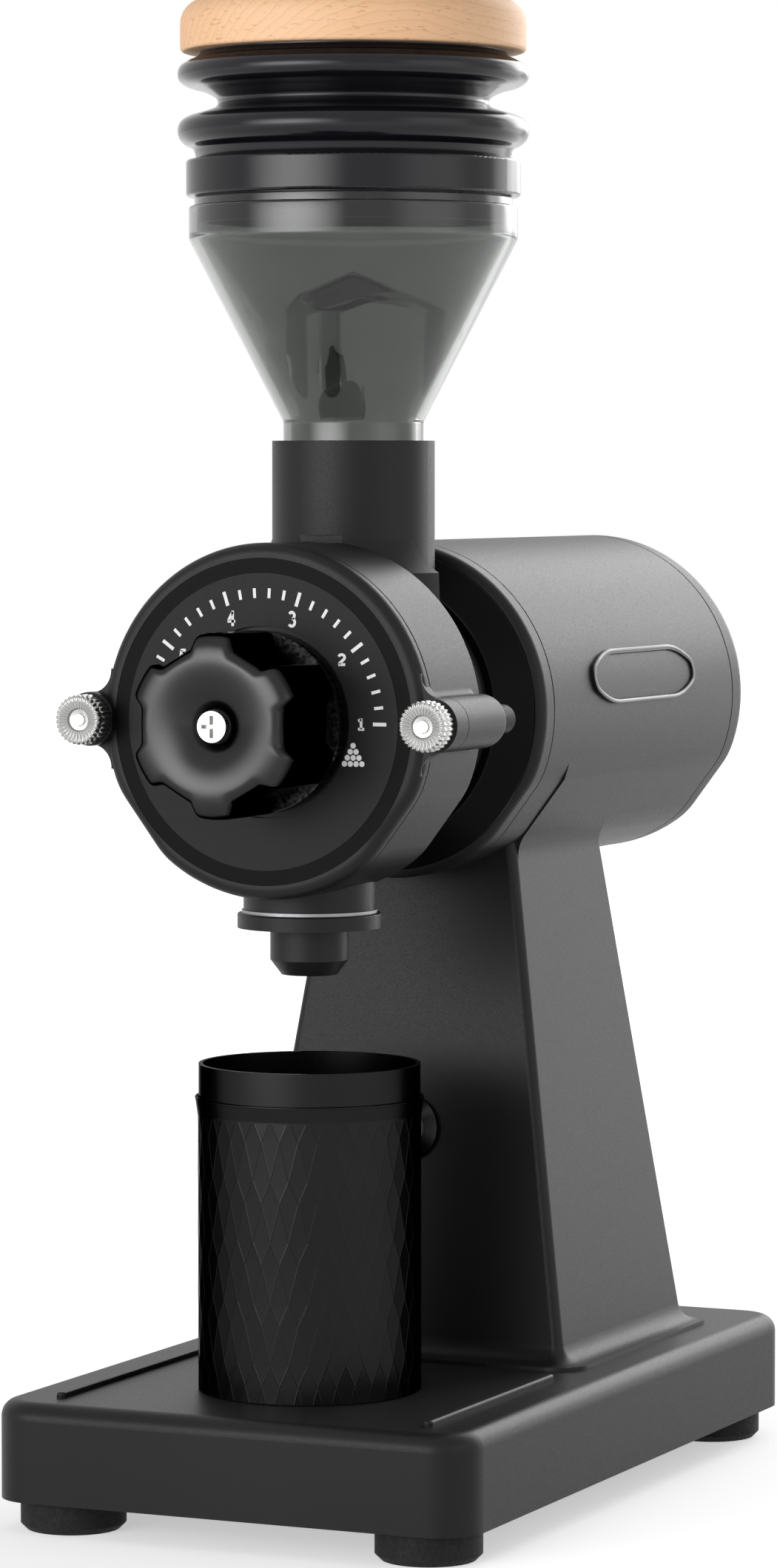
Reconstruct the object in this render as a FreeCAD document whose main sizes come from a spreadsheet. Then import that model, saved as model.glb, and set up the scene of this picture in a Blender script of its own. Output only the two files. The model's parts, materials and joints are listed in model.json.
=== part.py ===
import FreeCAD, Part
import math
import os
from types import SimpleNamespace

import Sketcher

# Single-dose electric coffee grinder with a bellows hopper.
# Millimetres. +X is the viewer's right, -Y the front, +Z up, and Z = 0 the surface that the feet stand on.
# The origin is the middle of the overall plan, half way between the knob's face and the motor's rear.

DRIVING = {
    # Base
    "base_width": 135.0,
    "base_depth": 230.4,
    "base_centre_y": -9.3,
    "base_thick": 25.8,
    "base_corner": 12.0,
    "base_edge": 4.5,
    "base_wall": 7.5,
    "base_roof": 6.0,
    "rib_half_gap": 52.0,
    "rib_front_y": -111.4,
    "rib_rear_y": -33.4,
    "rib_width": 2.6,
    "rib_height": 1.5,
    "foot_height": 8.5,
    "foot_radius": 13.75,
    "foot_bevel": 1.6,
    "foot_half_x": 50.5,
    "foot_half_y": 98.5,
    "cover_plate_thick": 2.0,
    # Stand
    "stand_half_low": 48.2,
    "stand_front_low": -14.9,
    "stand_rear_low": 74.4,
    "stand_top_z": 186.0,
    "stand_half_high": 25.7,
    "stand_front_high": 0.95,
    "stand_rear_high": 59.9,
    "stand_wall": 4.0,
    "stand_cavity_top": 160.0,
    "stand_edge": 2.5,
    "web_front_y": 1.8,
    "web_rear_y": 59.0,
    "web_low_z": 169.0,
    "web_mid_x": 29.96,
    "web_mid_z": 175.7,
    "web_high_x": 41.58,
    "web_high_z": 191.05,
    "web_top_x": 43.92,
    "web_top_z": 200.66,
    "web_hollow": 9.0,
    "web_round": 46.0,
    "skirt_reach": 6.5,
    "skirt_thick": 1.0,
    "stand_bolt_x": 36.0,
    "stand_bolt_front_y": 2.0,
    "stand_bolt_rear_y": 58.0,
    "button_z": 96.0,
    "button_radius": 4.0,
    "bezel_radius": 9.0,
    "barrel_radius": 5.9,
    # Motor
    "axis_z": 210.0,
    "motor_radius": 45.3,
    "motor_bore": 42.3,
    "motor_front_y": -21.8,
    "motor_seam_y": -14.0,
    "cap_seam_y": 118.6,
    "motor_rear_y": 130.6,
    "cap_round": 6.5,
    "front_round": 3.0,
    "seam_break": 0.4,
    "flat_depth": 0.025,
    "flat_angle": 37.0,
    "flat_blend": 22.0,
    "shaft_radius": 6.0,
    "stator_front_y": 10.0,
    "stator_rear_y": 80.0,
    "rotor_radius": 27.0,
    "air_gap": 0.5,
    "winding_reach": 12.0,
    "fan_radius": 33.0,
    "fan_front_y": 96.0,
    "fan_rear_y": 108.0,
    "bearing_radius": 14.0,
    "bearing_width": 8.0,
    "badge_y": 50.6,
    "badge_rise": 8.0,
    "badge_length": 74.0,
    "badge_height": 14.8,
    "badge_rim": 1.2,
    "badge_end": 17.5,
    "badge_tip": 4.2,
    # Grinding chamber, neck and spout
    "chamber_radius": 45.8,
    "chamber_bore": 39.0,
    "chamber_front_y": -94.4,
    "chamber_wall_y": -69.4,
    "chamber_rear_y": -63.4,
    "chamber_round": 1.5,
    "barrel_outer": 34.0,
    "barrel_rear_y": -33.0,
    "auger_bore": 16.0,
    "auger_rear_y": -36.0,
    "adapter_small": 36.0,
    "adapter_large": 43.0,
    "neck_radius": 21.46,
    "neck_y": -43.5,
    "neck_top": 282.0,
    "socket_radius": 18.9,
    "socket_floor": 262.0,
    "throat_radius": 13.0,
    "throat_y": -46.0,
    "boss_x": 48.5,
    "boss_radius": 7.0,
    "boss_rear_y": -68.4,
    "boss_blend": 2.0,
    "boss_end_round": 2.8,
    "stud_radius": 3.9,
    "stud_front_y": -72.0,
    "stud_rear_y": -56.6,
    "stud_round": 0.8,
    "spout_y": -71.0,
    "duct_radius": 17.2,
    "duct_low": 160.1,
    "outlet_y": -76.0,
    "outlet_radius": 7.5,
    "flange_radius": 18.8,
    "flange_top": 159.3,
    "flange_low": 155.4,
    "nozzle_radius": 10.25,
    "nozzle_chamfer_z": 147.0,
    "nozzle_tip_radius": 7.3,
    "nozzle_tip": 143.1,
    "nozzle_bore": 5.5,
    # Front cover, dial and adjuster
    "cover_face_y": -99.3,
    "cover_round": 3.0,
    "ear_front_y": -101.5,
    "dial_outer": 38.1,
    "band_outer": 42.0,
    "dial_thick": 1.2,
    "recess_radius": 24.6,
    "recess_floor_y": -97.3,
    "hub_rear_y": -93.4,
    "knob_face_y": -130.6,
    "knob_rear_y": -103.0,
    "knob_radius": 23.6,
    "knob_flat": 20.0,
    "knob_lobe_width": 10.4,
    "knob_edge": 1.1,
    "knob_front_edge": 1.8,
    "dish_radius": 17.8,
    "dish_depth": 5.0,
    "dish_round": 24.0,
    "spindle_front_y": -118.0,
    "spindle_rear_y": -86.0,
    "guide_pin_x": 33.0,
    "guide_pin_radius": 2.0,
    "guide_pin_rear_y": -89.6,
    "collar_radius": 23.4,
    "spindle_radius": 5.0,
    "screw_face_y": -108.7,
    "screw_head_radius": 6.5,
    "screw_shank_radius": 2.5,
    # Burrs
    "burr_radius": 32.0,
    "burr_bore": 17.0,
    "burr_thick": 7.0,
    "fixed_face_y": -80.9,
    "burr_gap": 0.3,
    "carrier_radius": 36.0,
    "carrier_thick": 4.0,
    "spider_thick": 3.4,
    "burr_screw_ring": 26.0,
    # Hopper, bellows and lid
    "spigot_radius": 18.5,
    "cone_low": 287.0,
    "cone_high": 334.9,
    "hopper_radius": 43.3,
    "hopper_wall": 2.0,
    "band_top": 343.6,
    "hopper_lip_radius": 41.9,
    "hopper_top": 345.8,
    "roof_apex": 327.0,
    "roof_eaves": 316.0,
    "roof_thick": 2.0,
    "post_ring": 22.2,
    "post_radius": 3.1,
    "bellows_low": 355.6,
    "bellows_collar_low": 346.0,
    "bellows_collar_radius": 44.0,
    "waist_low_radius": 41.4,
    "lobe_radius": 46.6,
    "lobe_round": 3.4,
    "lobe_one_z": 363.2,
    "lobe_two_z": 377.5,
    "waist_radius": 35.7,
    "waist_top_radius": 40.8,
    "bellows_wall": 1.6,
    "lid_low": 383.9,
    "lid_radius": 45.5,
    "lid_thick": 13.7,
    "lid_round": 6.5,
    # Cup
    "cup_radius": 29.0,
    "cup_rim": 119.9,
    "sleeve_rim": 111.3,
    "sleeve_band": 106.8,
    "sleeve_radius": 29.2,
    "sleeve_flare": 29.95,
    "cup_pad_thick": 1.0,
    # Clearance between a hole and the screw or shaft in it
    "fit": 0.05,
}

V = FreeCAD.Vector
UPRIGHT = FreeCAD.Rotation()
ALONG_Y = FreeCAD.Rotation(V(1, 0, 0), -90)
WEDGE_UP = FreeCAD.Rotation(V(1, 0, 0), 90)
FACING_X = FreeCAD.Rotation(V(1, 1, 1), 120)
KNOB_TURN = ALONG_Y * FreeCAD.Rotation(V(0, 0, 1), 30)
EDGE_MATCH = 0.05
SMALLEST_CUT = 0.01

doc = FreeCAD.newDocument("bellows_grinder")
sheet = doc.addObject("Spreadsheet::Sheet", "Dims")
subparts = []


class Size:
    """A size that carries its sheet expression, for binding, and its value, for first guesses."""

    def __init__(self, text, value):
        self.text = text
        self.value = value

    def __add__(self, other):
        other = as_size(other)
        return Size(f"({self.text} + {other.text})", self.value + other.value)

    def __sub__(self, other):
        other = as_size(other)
        return Size(f"({self.text} - {other.text})", self.value - other.value)

    def __mul__(self, other):
        other = as_size(other)
        return Size(f"({self.text} * {other.text})", self.value * other.value)

    def __truediv__(self, other):
        other = as_size(other)
        return Size(f"({self.text} / {other.text})", self.value / other.value)

    def __radd__(self, other):
        return as_size(other) + self

    def __rsub__(self, other):
        return as_size(other) - self

    def __rmul__(self, other):
        return as_size(other) * self

    def __neg__(self):
        return as_size(0.0) - self


def as_size(amount):
    """A plain number as a size."""
    if isinstance(amount, Size):
        return amount
    return Size(f"({float(amount):.6f})", float(amount))


def fill_sheet():
    """Writes each driving dimension to an aliased cell and returns them as sizes."""
    sizes = {}
    for row, (name, value) in enumerate(DRIVING.items(), start=1):
        sheet.set(f"A{row}", name)
        sheet.set(f"B{row}", str(value))
        sheet.setAlias(f"B{row}", name)
        sizes[name] = Size(f"Dims.{name}", value)
    doc.recompute()
    return SimpleNamespace(**sizes)


d = fill_sheet()
base_top = d.foot_height + d.base_thick
base_low = d.foot_height


def bind(obj, **sizes):
    """Binds properties of an object to the sheet."""
    for name, amount in sizes.items():
        obj.setExpression(name, as_size(amount).text)


def place(obj, x=0.0, y=0.0, z=0.0, turn=UPRIGHT):
    """Turns an object and binds its position to the sheet."""
    obj.Placement = FreeCAD.Placement(V(0, 0, 0), turn)
    for axis, amount in zip("xyz", (x, y, z)):
        obj.setExpression(f"Placement.Base.{axis}", as_size(amount).text)
    return obj


def name_part(label, obj):
    """Names a finished sub-part, which also names its file."""
    obj.Label = label
    subparts.append(obj)
    return obj


def cylinder(radius, height, x=0.0, y=0.0, z=0.0, turn=UPRIGHT):
    obj = doc.addObject("Part::Cylinder", "Cylinder")
    bind(obj, Radius=radius, Height=height)
    return place(obj, x, y, z, turn)


def rod(radius, front_y, rear_y, x=0.0, z=None):
    """A cylinder along Y, on the motor's axis unless x or z is given."""
    height = as_size(rear_y) - front_y
    return cylinder(radius, height, x, front_y, d.axis_z if z is None else z, ALONG_Y)


def cone(radius_low, radius_high, height, x=0.0, y=0.0, z=0.0, turn=UPRIGHT):
    obj = doc.addObject("Part::Cone", "Cone")
    bind(obj, Radius1=radius_low, Radius2=radius_high, Height=height)
    return place(obj, x, y, z, turn)


def box(width, depth, height, x=0.0, y=0.0, z=0.0):
    """A block centred on x and y, standing on z."""
    obj = doc.addObject("Part::Box", "Box")
    bind(obj, Length=width, Width=depth, Height=height)
    return place(obj, as_size(x) - as_size(width) / 2, as_size(y) - as_size(depth) / 2, z)


def fuse(*shapes):
    obj = doc.addObject("Part::MultiFuse", "Fusion")
    obj.Shapes = list(shapes)
    return obj


def fuse_in_turn(first, *others):
    """Joins shapes one after another, for castings whose curved walls meet in many places."""
    joined = first
    for shape in others:
        obj = doc.addObject("Part::Fuse", "Joined")
        obj.Base = joined
        obj.Tool = shape
        joined = obj
    return joined


def common(*shapes):
    obj = doc.addObject("Part::MultiCommon", "Common")
    obj.Shapes = list(shapes)
    return obj


def cut(base, *tools):
    obj = doc.addObject("Part::Cut", "Cut")
    obj.Base = base
    obj.Tool = tools[0] if len(tools) == 1 else fuse(*tools)
    return obj


def group(*shapes):
    """Separate solids that share one node, such as identical screws."""
    obj = doc.addObject("Part::Compound", "Group")
    obj.Links = list(shapes)
    return obj


def round_edges(base, radius, wanted):
    """Rounds the edges of a shape for which wanted(edge) is true."""
    doc.recompute()
    obj = doc.addObject("Part::Fillet", "Round")
    obj.Base = base
    picked = [i for i, edge in enumerate(base.Shape.Edges, start=1) if wanted(edge)]
    obj.Edges = [(i, radius.value, radius.value) for i in picked]
    return obj


def break_ends(tube, *planes):
    """Takes the sharpness off a tube's end edges, so that the seam between two pieces shows."""
    for y in planes:
        tube = round_edges(tube, d.seam_break, is_across_at(y))
    return tube


def is_upright(edge):
    """True for a straight edge along Z."""
    first, last = edge.Vertexes[0].Point, edge.Vertexes[-1].Point
    return abs(first.x - last.x) < EDGE_MATCH and abs(first.y - last.y) < EDGE_MATCH


def is_level_at(z):
    """A test for edges that lie at one height."""
    return lambda edge: all(abs(v.Z - z.value) < EDGE_MATCH for v in edge.Vertexes)


def is_across_at(y):
    """A test for edges that lie in one plane across the motor's axis."""
    return lambda edge: all(abs(v.Y - y.value) < EDGE_MATCH for v in edge.Vertexes)


def arc_between(start, end, radius, bulge_right):
    """The short arc between two sketch points, bulging to the right of start to end, or to the left."""
    chord = end - start
    half = chord.Length / 2
    rise = math.sqrt(max(radius * radius - half * half, 0.0))
    side = V(chord.y, -chord.x, 0).normalize()
    centre = (start + end) / 2 + (side * -rise if bulge_right else side * rise)
    circle = Part.Circle(centre, V(0, 0, 1), radius)
    first, last = (start, end) if bulge_right else (end, start)
    turn_from = math.atan2(first.y - centre.y, first.x - centre.x)
    turn_to = math.atan2(last.y - centre.y, last.x - centre.x)
    return Part.ArcOfCircle(circle, turn_from, turn_to)


def draw(sketch, points):
    """Draws a closed outline whose points are bound to the sheet.

    A point is (x, y), or (x, y, radius, side) where an arc of that radius, bulging to the right or left of
    the way it runs, leads on to the next point.
    """
    corners = [V(as_size(p[0]).value, as_size(p[1]).value, 0) for p in points]
    count = len(points)
    ends = []
    for i, point in enumerate(points):
        start, end = corners[i], corners[(i + 1) % count]
        if len(point) == 2:
            sketch.addGeometry(Part.LineSegment(start, end), False)
            ends.append((1, 2))
        else:
            to_right = point[3] == "right"
            sketch.addGeometry(arc_between(start, end, as_size(point[2]).value, to_right), False)
            ends.append((1, 2) if to_right else (2, 1))
    for i, point in enumerate(points):
        following = (i + 1) % count
        sketch.addConstraint(Sketcher.Constraint("Coincident", i, ends[i][1], following, ends[following][0]))
        fix_point(sketch, i, ends[i][0], point)
        if len(point) > 2:
            radius = as_size(point[2])
            index = sketch.addConstraint(Sketcher.Constraint("Radius", i, radius.value))
            sketch.setExpression(f"Constraints[{index}]", radius.text)


def fix_point(sketch, geometry, end, point):
    """Binds one sketch point to its distances from the sketch's origin."""
    for kind, axis, amount in (("DistanceX", -2, point[0]), ("DistanceY", -1, point[1])):
        if not isinstance(amount, Size) and amount == 0:
            sketch.addConstraint(Sketcher.Constraint("PointOnObject", geometry, end, axis))
            continue
        amount = as_size(amount)
        index = sketch.addConstraint(Sketcher.Constraint(kind, -1, 1, geometry, end, amount.value))
        sketch.setExpression(f"Constraints[{index}]", amount.text)


def sketch_on(body, role):
    """A sketch on one of a body's own origin planes."""
    sketch = body.newObject("Sketcher::SketchObject", "Outline")
    plane = [feature for feature in body.Origin.OriginFeatures if feature.Role == role][0]
    sketch.AttachmentSupport = [(plane, "")]
    sketch.MapMode = "FlatFace"
    return sketch


def turned(points, x=0.0, y=0.0, z=0.0, turn=UPRIGHT):
    """A body of revolution: points are (radius, distance along the axis)."""
    body = doc.addObject("PartDesign::Body", "Turned")
    sketch = sketch_on(body, "XZ_Plane")
    draw(sketch, points)
    revolution = body.newObject("PartDesign::Revolution", "Revolution")
    revolution.Profile = sketch
    revolution.ReferenceAxis = (sketch, ["V_Axis"])
    revolution.Angle = 360
    return place(body, x, y, z, turn)


def turned_on_axis(points):
    """A body of revolution about the motor's axis: points are (radius, y)."""
    return turned(points, z=d.axis_z, turn=ALONG_Y)


def round_rims(body, radius, rims):
    """Rounds the circular edges of a turned body that are at the given (radius, distance) places."""
    doc.recompute()
    tip = body.Tip
    names = []
    for i, edge in enumerate(tip.Shape.Edges, start=1):
        if not isinstance(edge.Curve, Part.Circle):
            continue
        for rim_radius, along in rims:
            near = abs(edge.Curve.Radius - as_size(rim_radius).value) < EDGE_MATCH
            if near and abs(edge.Curve.Center.z - as_size(along).value) < EDGE_MATCH:
                names.append(f"Edge{i}")
    fillet = body.newObject("PartDesign::Fillet", "RoundRims")
    fillet.Base = (tip, sorted(set(names)))
    bind(fillet, Radius=radius)
    return body


def padded_outline(points, height, x=0.0, y=0.0, z=0.0, turn=UPRIGHT):
    """A straight prism of a closed outline."""
    body = doc.addObject("PartDesign::Body", "Prism")
    sketch = sketch_on(body, "XY_Plane")
    draw(sketch, points)
    pad = body.newObject("PartDesign::Pad", "Pad")
    pad.Profile = sketch
    bind(pad, Length=height)
    return place(body, x, y, z, turn)


def hexagon(across_flats, height, x=0.0, y=0.0, z=0.0, turn=UPRIGHT):
    prism = doc.addObject("Part::Prism", "Hexagon")
    prism.Polygon = 6
    bind(prism, Circumradius=as_size(across_flats) / math.sqrt(3), Height=height)
    return place(prism, x, y, z, turn)


def flatted_tube(radius, front_y, rear_y):
    """The motor's and chamber's outer form: a cylinder with a soft flat low on either side."""
    length = as_size(rear_y) - front_y
    side_height = 60.0
    reach = as_size(radius) * (1.0 - d.flat_depth)
    depth = 12.0
    tools = []
    for angle in (d.flat_angle.value, 180.0 - d.flat_angle.value):
        lean = math.radians(angle)
        corner_x = reach * math.cos(lean) - side_height / 2 * math.sin(lean)
        corner_z = d.axis_z - reach * math.sin(lean) - side_height / 2 * math.cos(lean)
        slab = doc.addObject("Part::Box", "Flat")
        bind(slab, Length=depth, Width=length, Height=side_height)
        place(slab, corner_x, front_y, corner_z, FreeCAD.Rotation(V(0, 1, 0), angle))
        tools.append(slab)
    tube = cut(rod(radius, front_y, rear_y), *tools)
    low = d.axis_z.value

    def is_flat_edge(edge):
        first, last = edge.Vertexes[0].Point, edge.Vertexes[-1].Point
        along = abs(first.y - last.y) > 1.0
        return along and first.z < low - 5.0

    return round_edges(tube, d.flat_blend, is_flat_edge)


def around_axis(count, ring, first_angle=0.0):
    """The (x, z) places of a ring of holes about the motor's axis."""
    for step in range(count):
        angle = math.radians(first_angle + 360.0 * step / count)
        yield as_size(ring) * math.cos(angle), d.axis_z + as_size(ring) * math.sin(angle)


def corners_of(half_x, half_y, centre_y=0.0):
    """The four (x, y) corners of a rectangle on the object's centre plane."""
    for side in (-1, 1):
        for end in (-1, 1):
            yield half_x * side, as_size(centre_y) + half_y * end


def foot_places():
    return list(corners_of(d.foot_half_x, d.foot_half_y, d.base_centre_y))


def stand_bolt_places():
    ends = (d.stand_bolt_front_y, d.stand_bolt_rear_y)
    return [(d.stand_bolt_x * side, y) for side in (-1, 1) for y in ends]


def screw_up(head_radius, head_height, shank_radius, low, high, x, y):
    """A screw that points up: head from low, shank to high."""
    shank = cylinder(shank_radius, as_size(high) - low, x, y, low)
    return fuse(cylinder(head_radius, head_height, x, y, low), shank)


def screw_back(head_radius, head_height, shank_radius, front_y, rear_y, x, z):
    """A screw that points to the rear: head from front_y, shank to rear_y."""
    head = rod(head_radius, front_y, as_size(front_y) + head_height, x, z)
    return fuse(head, rod(shank_radius, front_y, rear_y, x, z))


def screw_forward(head_radius, head_height, shank_radius, front_y, rear_y, x, z):
    """A screw that points to the front: shank from front_y, head up to rear_y."""
    head = rod(head_radius, as_size(rear_y) - head_height, rear_y, x, z)
    return fuse(head, rod(shank_radius, front_y, rear_y, x, z))


# Screw sizes: head radius, head height, shank radius.
FOOT_SCREW = (4.5, 2.5, 2.0)
STAND_BOLT = (5.0, 5.0, 3.0)
CAP_SCREW = (3.4, 2.2, 2.0)
CHAMBER_BOLT = (4.25, 4.6, 2.5)
BURR_SCREW = (3.4, 3.0, 1.95)
LID_SCREW = (3.2, 2.0, 1.5)

FOOT_SCREW_RECESS = 1.5
CHAMBER_BOLT_RING = 25.0
CAP_SCREW_RING = 38.6
GLAND_Z = 21.4
GLAND_RADIUS = 6.0


def make_base_plate():
    roof_low = base_top - d.base_roof
    block = box(d.base_width, d.base_depth, d.base_thick, 0, d.base_centre_y, base_low)
    block = round_edges(block, d.base_corner, is_upright)
    block = round_edges(block, d.base_edge, is_level_at(base_top))
    inner_w = d.base_width - 2 * d.base_wall
    inner_d = d.base_depth - 2 * d.base_wall
    cavity = box(inner_w, inner_d, roof_low - base_low, 0, d.base_centre_y, base_low)
    cavity = round_edges(cavity, d.base_corner - 5.0, is_upright)
    rebate = cover_blank(0.2)
    ribs = [rib(side) for side in (-1, 1)]
    bosses = [
        cylinder(8.0, roof_low - base_low - d.cover_plate_thick + 1.0, x, y, base_low + d.cover_plate_thick)
        for x, y in foot_places()
    ]
    screw_holes = [cylinder(FOOT_SCREW[2] + d.fit, 16.0, x, y, base_low) for x, y in foot_places()]
    bolt_holes = [
        cylinder(STAND_BOLT[2] + 0.3, d.base_roof + 2.0, x, y, roof_low - 1.0) for x, y in stand_bolt_places()
    ]
    wire_hole = cylinder(7.0, d.base_roof + 2.0, 22.0, 62.0, roof_low - 1.0)
    rear_y = d.base_centre_y + d.base_depth / 2
    gland_hole = rod(GLAND_RADIUS, rear_y - d.base_wall - 2.0, rear_y + 1.0, 0, GLAND_Z)
    shell = fuse(cut(block, cavity, rebate), *ribs, *bosses)
    return name_part("base_plate", cut(shell, *screw_holes, *bolt_holes, wire_hole, gland_hole))


def rib(side):
    """A raised rib with rounded ends on the base's top."""
    length = d.rib_rear_y - d.rib_front_y
    middle = (d.rib_rear_y + d.rib_front_y) / 2
    x = d.rib_half_gap * side
    sunk = 1.0
    height = d.rib_height + sunk
    bar = box(d.rib_width, length, height, x, middle, base_top - sunk)
    ends = [cylinder(d.rib_width / 2, height, x, y, base_top - sunk) for y in (d.rib_front_y, d.rib_rear_y)]
    solid = fuse(bar, *ends)
    solid.Refine = True
    return round_edges(solid, as_size(0.7), is_level_at(base_top + d.rib_height))


def cover_blank(clearance):
    """The bottom cover's plate, or with a clearance the rebate that it lies in."""
    margin = 3.0 - clearance
    width = d.base_width - 2 * margin
    depth = d.base_depth - 2 * margin
    plate = box(width, depth, d.cover_plate_thick, 0, d.base_centre_y, base_low)
    return round_edges(plate, d.base_corner - margin, is_upright)


def make_base_cover():
    holes = [cylinder(FOOT_SCREW[2] + 0.3, 4.0, x, y, base_low - 1.0) for x, y in foot_places()]
    name_part("base_cover", cut(cover_blank(0.0), *holes))


def make_feet():
    feet = []
    screws = []
    seat = FOOT_SCREW_RECESS + FOOT_SCREW[1]
    for x, y in foot_places():
        bevel = cone(d.foot_radius - d.foot_bevel, d.foot_radius, d.foot_bevel, x, y, 0)
        drum = cylinder(d.foot_radius, d.foot_height - d.foot_bevel, x, y, d.foot_bevel)
        counterbore = cylinder(FOOT_SCREW[0] + 0.5, seat, x, y, 0)
        hole = cylinder(FOOT_SCREW[2] + 0.3, d.foot_height, x, y, 0)
        feet.append(cut(fuse(bevel, drum), counterbore, hole))
        screws.append(screw_up(*FOOT_SCREW, FOOT_SCREW_RECESS, 22.0, x, y))
    name_part("rubber_feet", group(*feet))
    name_part("feet_screws", group(*screws))


def make_cord_gland():
    rear_y = d.base_centre_y + d.base_depth / 2
    flange = rod(GLAND_RADIUS + 2.5, rear_y, rear_y + 2.4, 0, GLAND_Z)
    barrel = rod(GLAND_RADIUS, rear_y - d.base_wall - 3.0, rear_y, 0, GLAND_Z)
    bore = rod(3.7, rear_y - d.base_wall - 4.0, rear_y + 3.0, 0, GLAND_Z)
    name_part("cord_gland", cut(fuse(flange, barrel), bore))


def stand_at(z, low, high):
    """A size of the tapered stand at a height, from its values at the stand's foot and top."""
    return low + (high - low) * ((as_size(z) - base_top) / (d.stand_top_z - base_top))


def stand_wedge(low_z, high_z, inset):
    """The stand's tapered block between two heights, drawn in by inset on all sides."""
    wedge = doc.addObject("Part::Wedge", "Wedge")
    half_low = stand_at(low_z, d.stand_half_low, d.stand_half_high) - inset
    half_high = stand_at(high_z, d.stand_half_low, d.stand_half_high) - inset
    front_low = stand_at(low_z, d.stand_front_low, d.stand_front_high) + inset
    front_high = stand_at(high_z, d.stand_front_low, d.stand_front_high) + inset
    rear_low = stand_at(low_z, d.stand_rear_low, d.stand_rear_high) - inset
    rear_high = stand_at(high_z, d.stand_rear_low, d.stand_rear_high) - inset
    bind(wedge, Xmin=-half_low, Xmax=half_low, X2min=-half_high, X2max=half_high)
    bind(wedge, Ymin=low_z, Ymax=high_z)
    bind(wedge, Zmin=-rear_low, Zmax=-front_low, Z2min=-rear_high, Z2max=-front_high)
    return place(wedge, turn=WEDGE_UP)


def button_axis():
    """A point on the stand's front face at the button's height, and the face's outward direction."""
    rise = d.stand_top_z - base_top
    lean = (d.stand_front_high.value - d.stand_front_low.value) / rise.value
    face_y = stand_at(d.button_z, d.stand_front_low, d.stand_front_high)
    return face_y, V(0, -1, lean).normalize()


def on_button_axis(points):
    """A body of revolution about the button's axis: distances run out of the stand's face."""
    face_y, outward = button_axis()
    return turned(points, 0, face_y, d.button_z, FreeCAD.Rotation(V(0, 0, 1), outward))


def make_stand_housing():
    pillar = round_edges(stand_wedge(base_top, d.stand_top_z, 0.0), d.stand_edge, is_slanted)
    skirt_top = base_top + d.skirt_thick
    skirt = stand_wedge(base_top, skirt_top, -1.0 * d.skirt_reach)
    skirt = round_edges(skirt, d.stand_edge + d.skirt_reach, is_slanted)
    foot = round_edges(fuse(pillar, skirt), d.skirt_reach - 1.0, is_skirt_root)
    tube = flatted_tube(d.motor_radius, d.motor_seam_y, d.cap_seam_y)
    tube = break_ends(tube, d.motor_seam_y, d.cap_seam_y)
    outside = fuse_in_turn(foot, tube, stand_web(-1), stand_web(1))
    bore = rod(d.motor_bore, d.motor_seam_y - 1.0, d.cap_seam_y + 1.0)
    cavity = stand_wedge(base_top, d.stand_cavity_top, d.stand_wall)
    bosses = [cylinder(9.0, 18.0, x, y, base_top) for x, y in stand_bolt_places()]
    holes = [cylinder(STAND_BOLT[2] + d.fit, 15.0, x, y, base_top) for x, y in stand_bolt_places()]
    face_y, outward = button_axis()
    switch_hole = cylinder(
        d.barrel_radius + 0.1, 12.0, 0, face_y, d.button_z, FreeCAD.Rotation(V(0, 0, -1), outward)
    )
    wire_hole = cylinder(4.5, 16.0, 0, 6.0, d.stand_cavity_top - 3.0)
    lugs = [
        rod(4.4, d.cap_seam_y - 10.0, d.cap_seam_y, x, z) for x, z in around_axis(4, CAP_SCREW_RING, 45.0)
    ]
    lug_holes = [
        rod(CAP_SCREW[2] + d.fit, d.cap_seam_y - 9.0, d.cap_seam_y + 1.0, x, z)
        for x, z in around_axis(4, CAP_SCREW_RING, 45.0)
    ]
    shell = fuse(cut(outside, bore, cavity), *bosses, *lugs)
    return name_part("stand_housing", cut(shell, *holes, *lug_holes, switch_hole, wire_hole))


def stand_web(side):
    """A low rib that leads one side of the stand up into the motor tube, beside the tube's flat."""
    outer, inner = ("left", "right") if side > 0 else ("right", "left")
    low_x = stand_at(d.web_low_z, d.stand_half_low, d.stand_half_high)
    core_x = d.stand_half_high / 2
    outline = [
        (core_x * side, d.web_low_z),
        (low_x * side, d.web_low_z, d.web_hollow, outer),
        (d.web_mid_x * side, d.web_mid_z),
        (d.web_high_x * side, d.web_high_z, d.web_round, inner),
        (d.web_top_x * side, d.web_top_z),
        (core_x * side, d.web_top_z),
    ]
    return padded_outline(outline, d.web_rear_y - d.web_front_y, 0, d.web_rear_y, 0, WEDGE_UP)


def is_slanted(edge):
    """True for the four long edges of the stand's wedge and of its skirt."""
    first, last = edge.Vertexes[0].Point, edge.Vertexes[-1].Point
    return abs(first.z - last.z) > 0.5


def is_skirt_root(edge):
    """True for the inside edge where the pillar stands on its skirt."""
    level = base_top.value + d.skirt_thick.value
    box_of = edge.BoundBox
    if abs(box_of.ZMin - level) > EDGE_MATCH or abs(box_of.ZMax - level) > EDGE_MATCH:
        return False
    margin = 1.0
    inside_x = max(abs(box_of.XMin), abs(box_of.XMax)) < d.stand_half_low.value + margin
    inside_front = box_of.YMin > d.stand_front_low.value - margin
    return inside_x and inside_front and box_of.YMax < d.stand_rear_low.value + margin


def make_stand_bolts():
    head_low = base_top - d.base_roof - STAND_BOLT[1]
    bolts = [screw_up(*STAND_BOLT, head_low, 48.0, x, y) for x, y in stand_bolt_places()]
    name_part("stand_bolts", group(*bolts))


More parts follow.
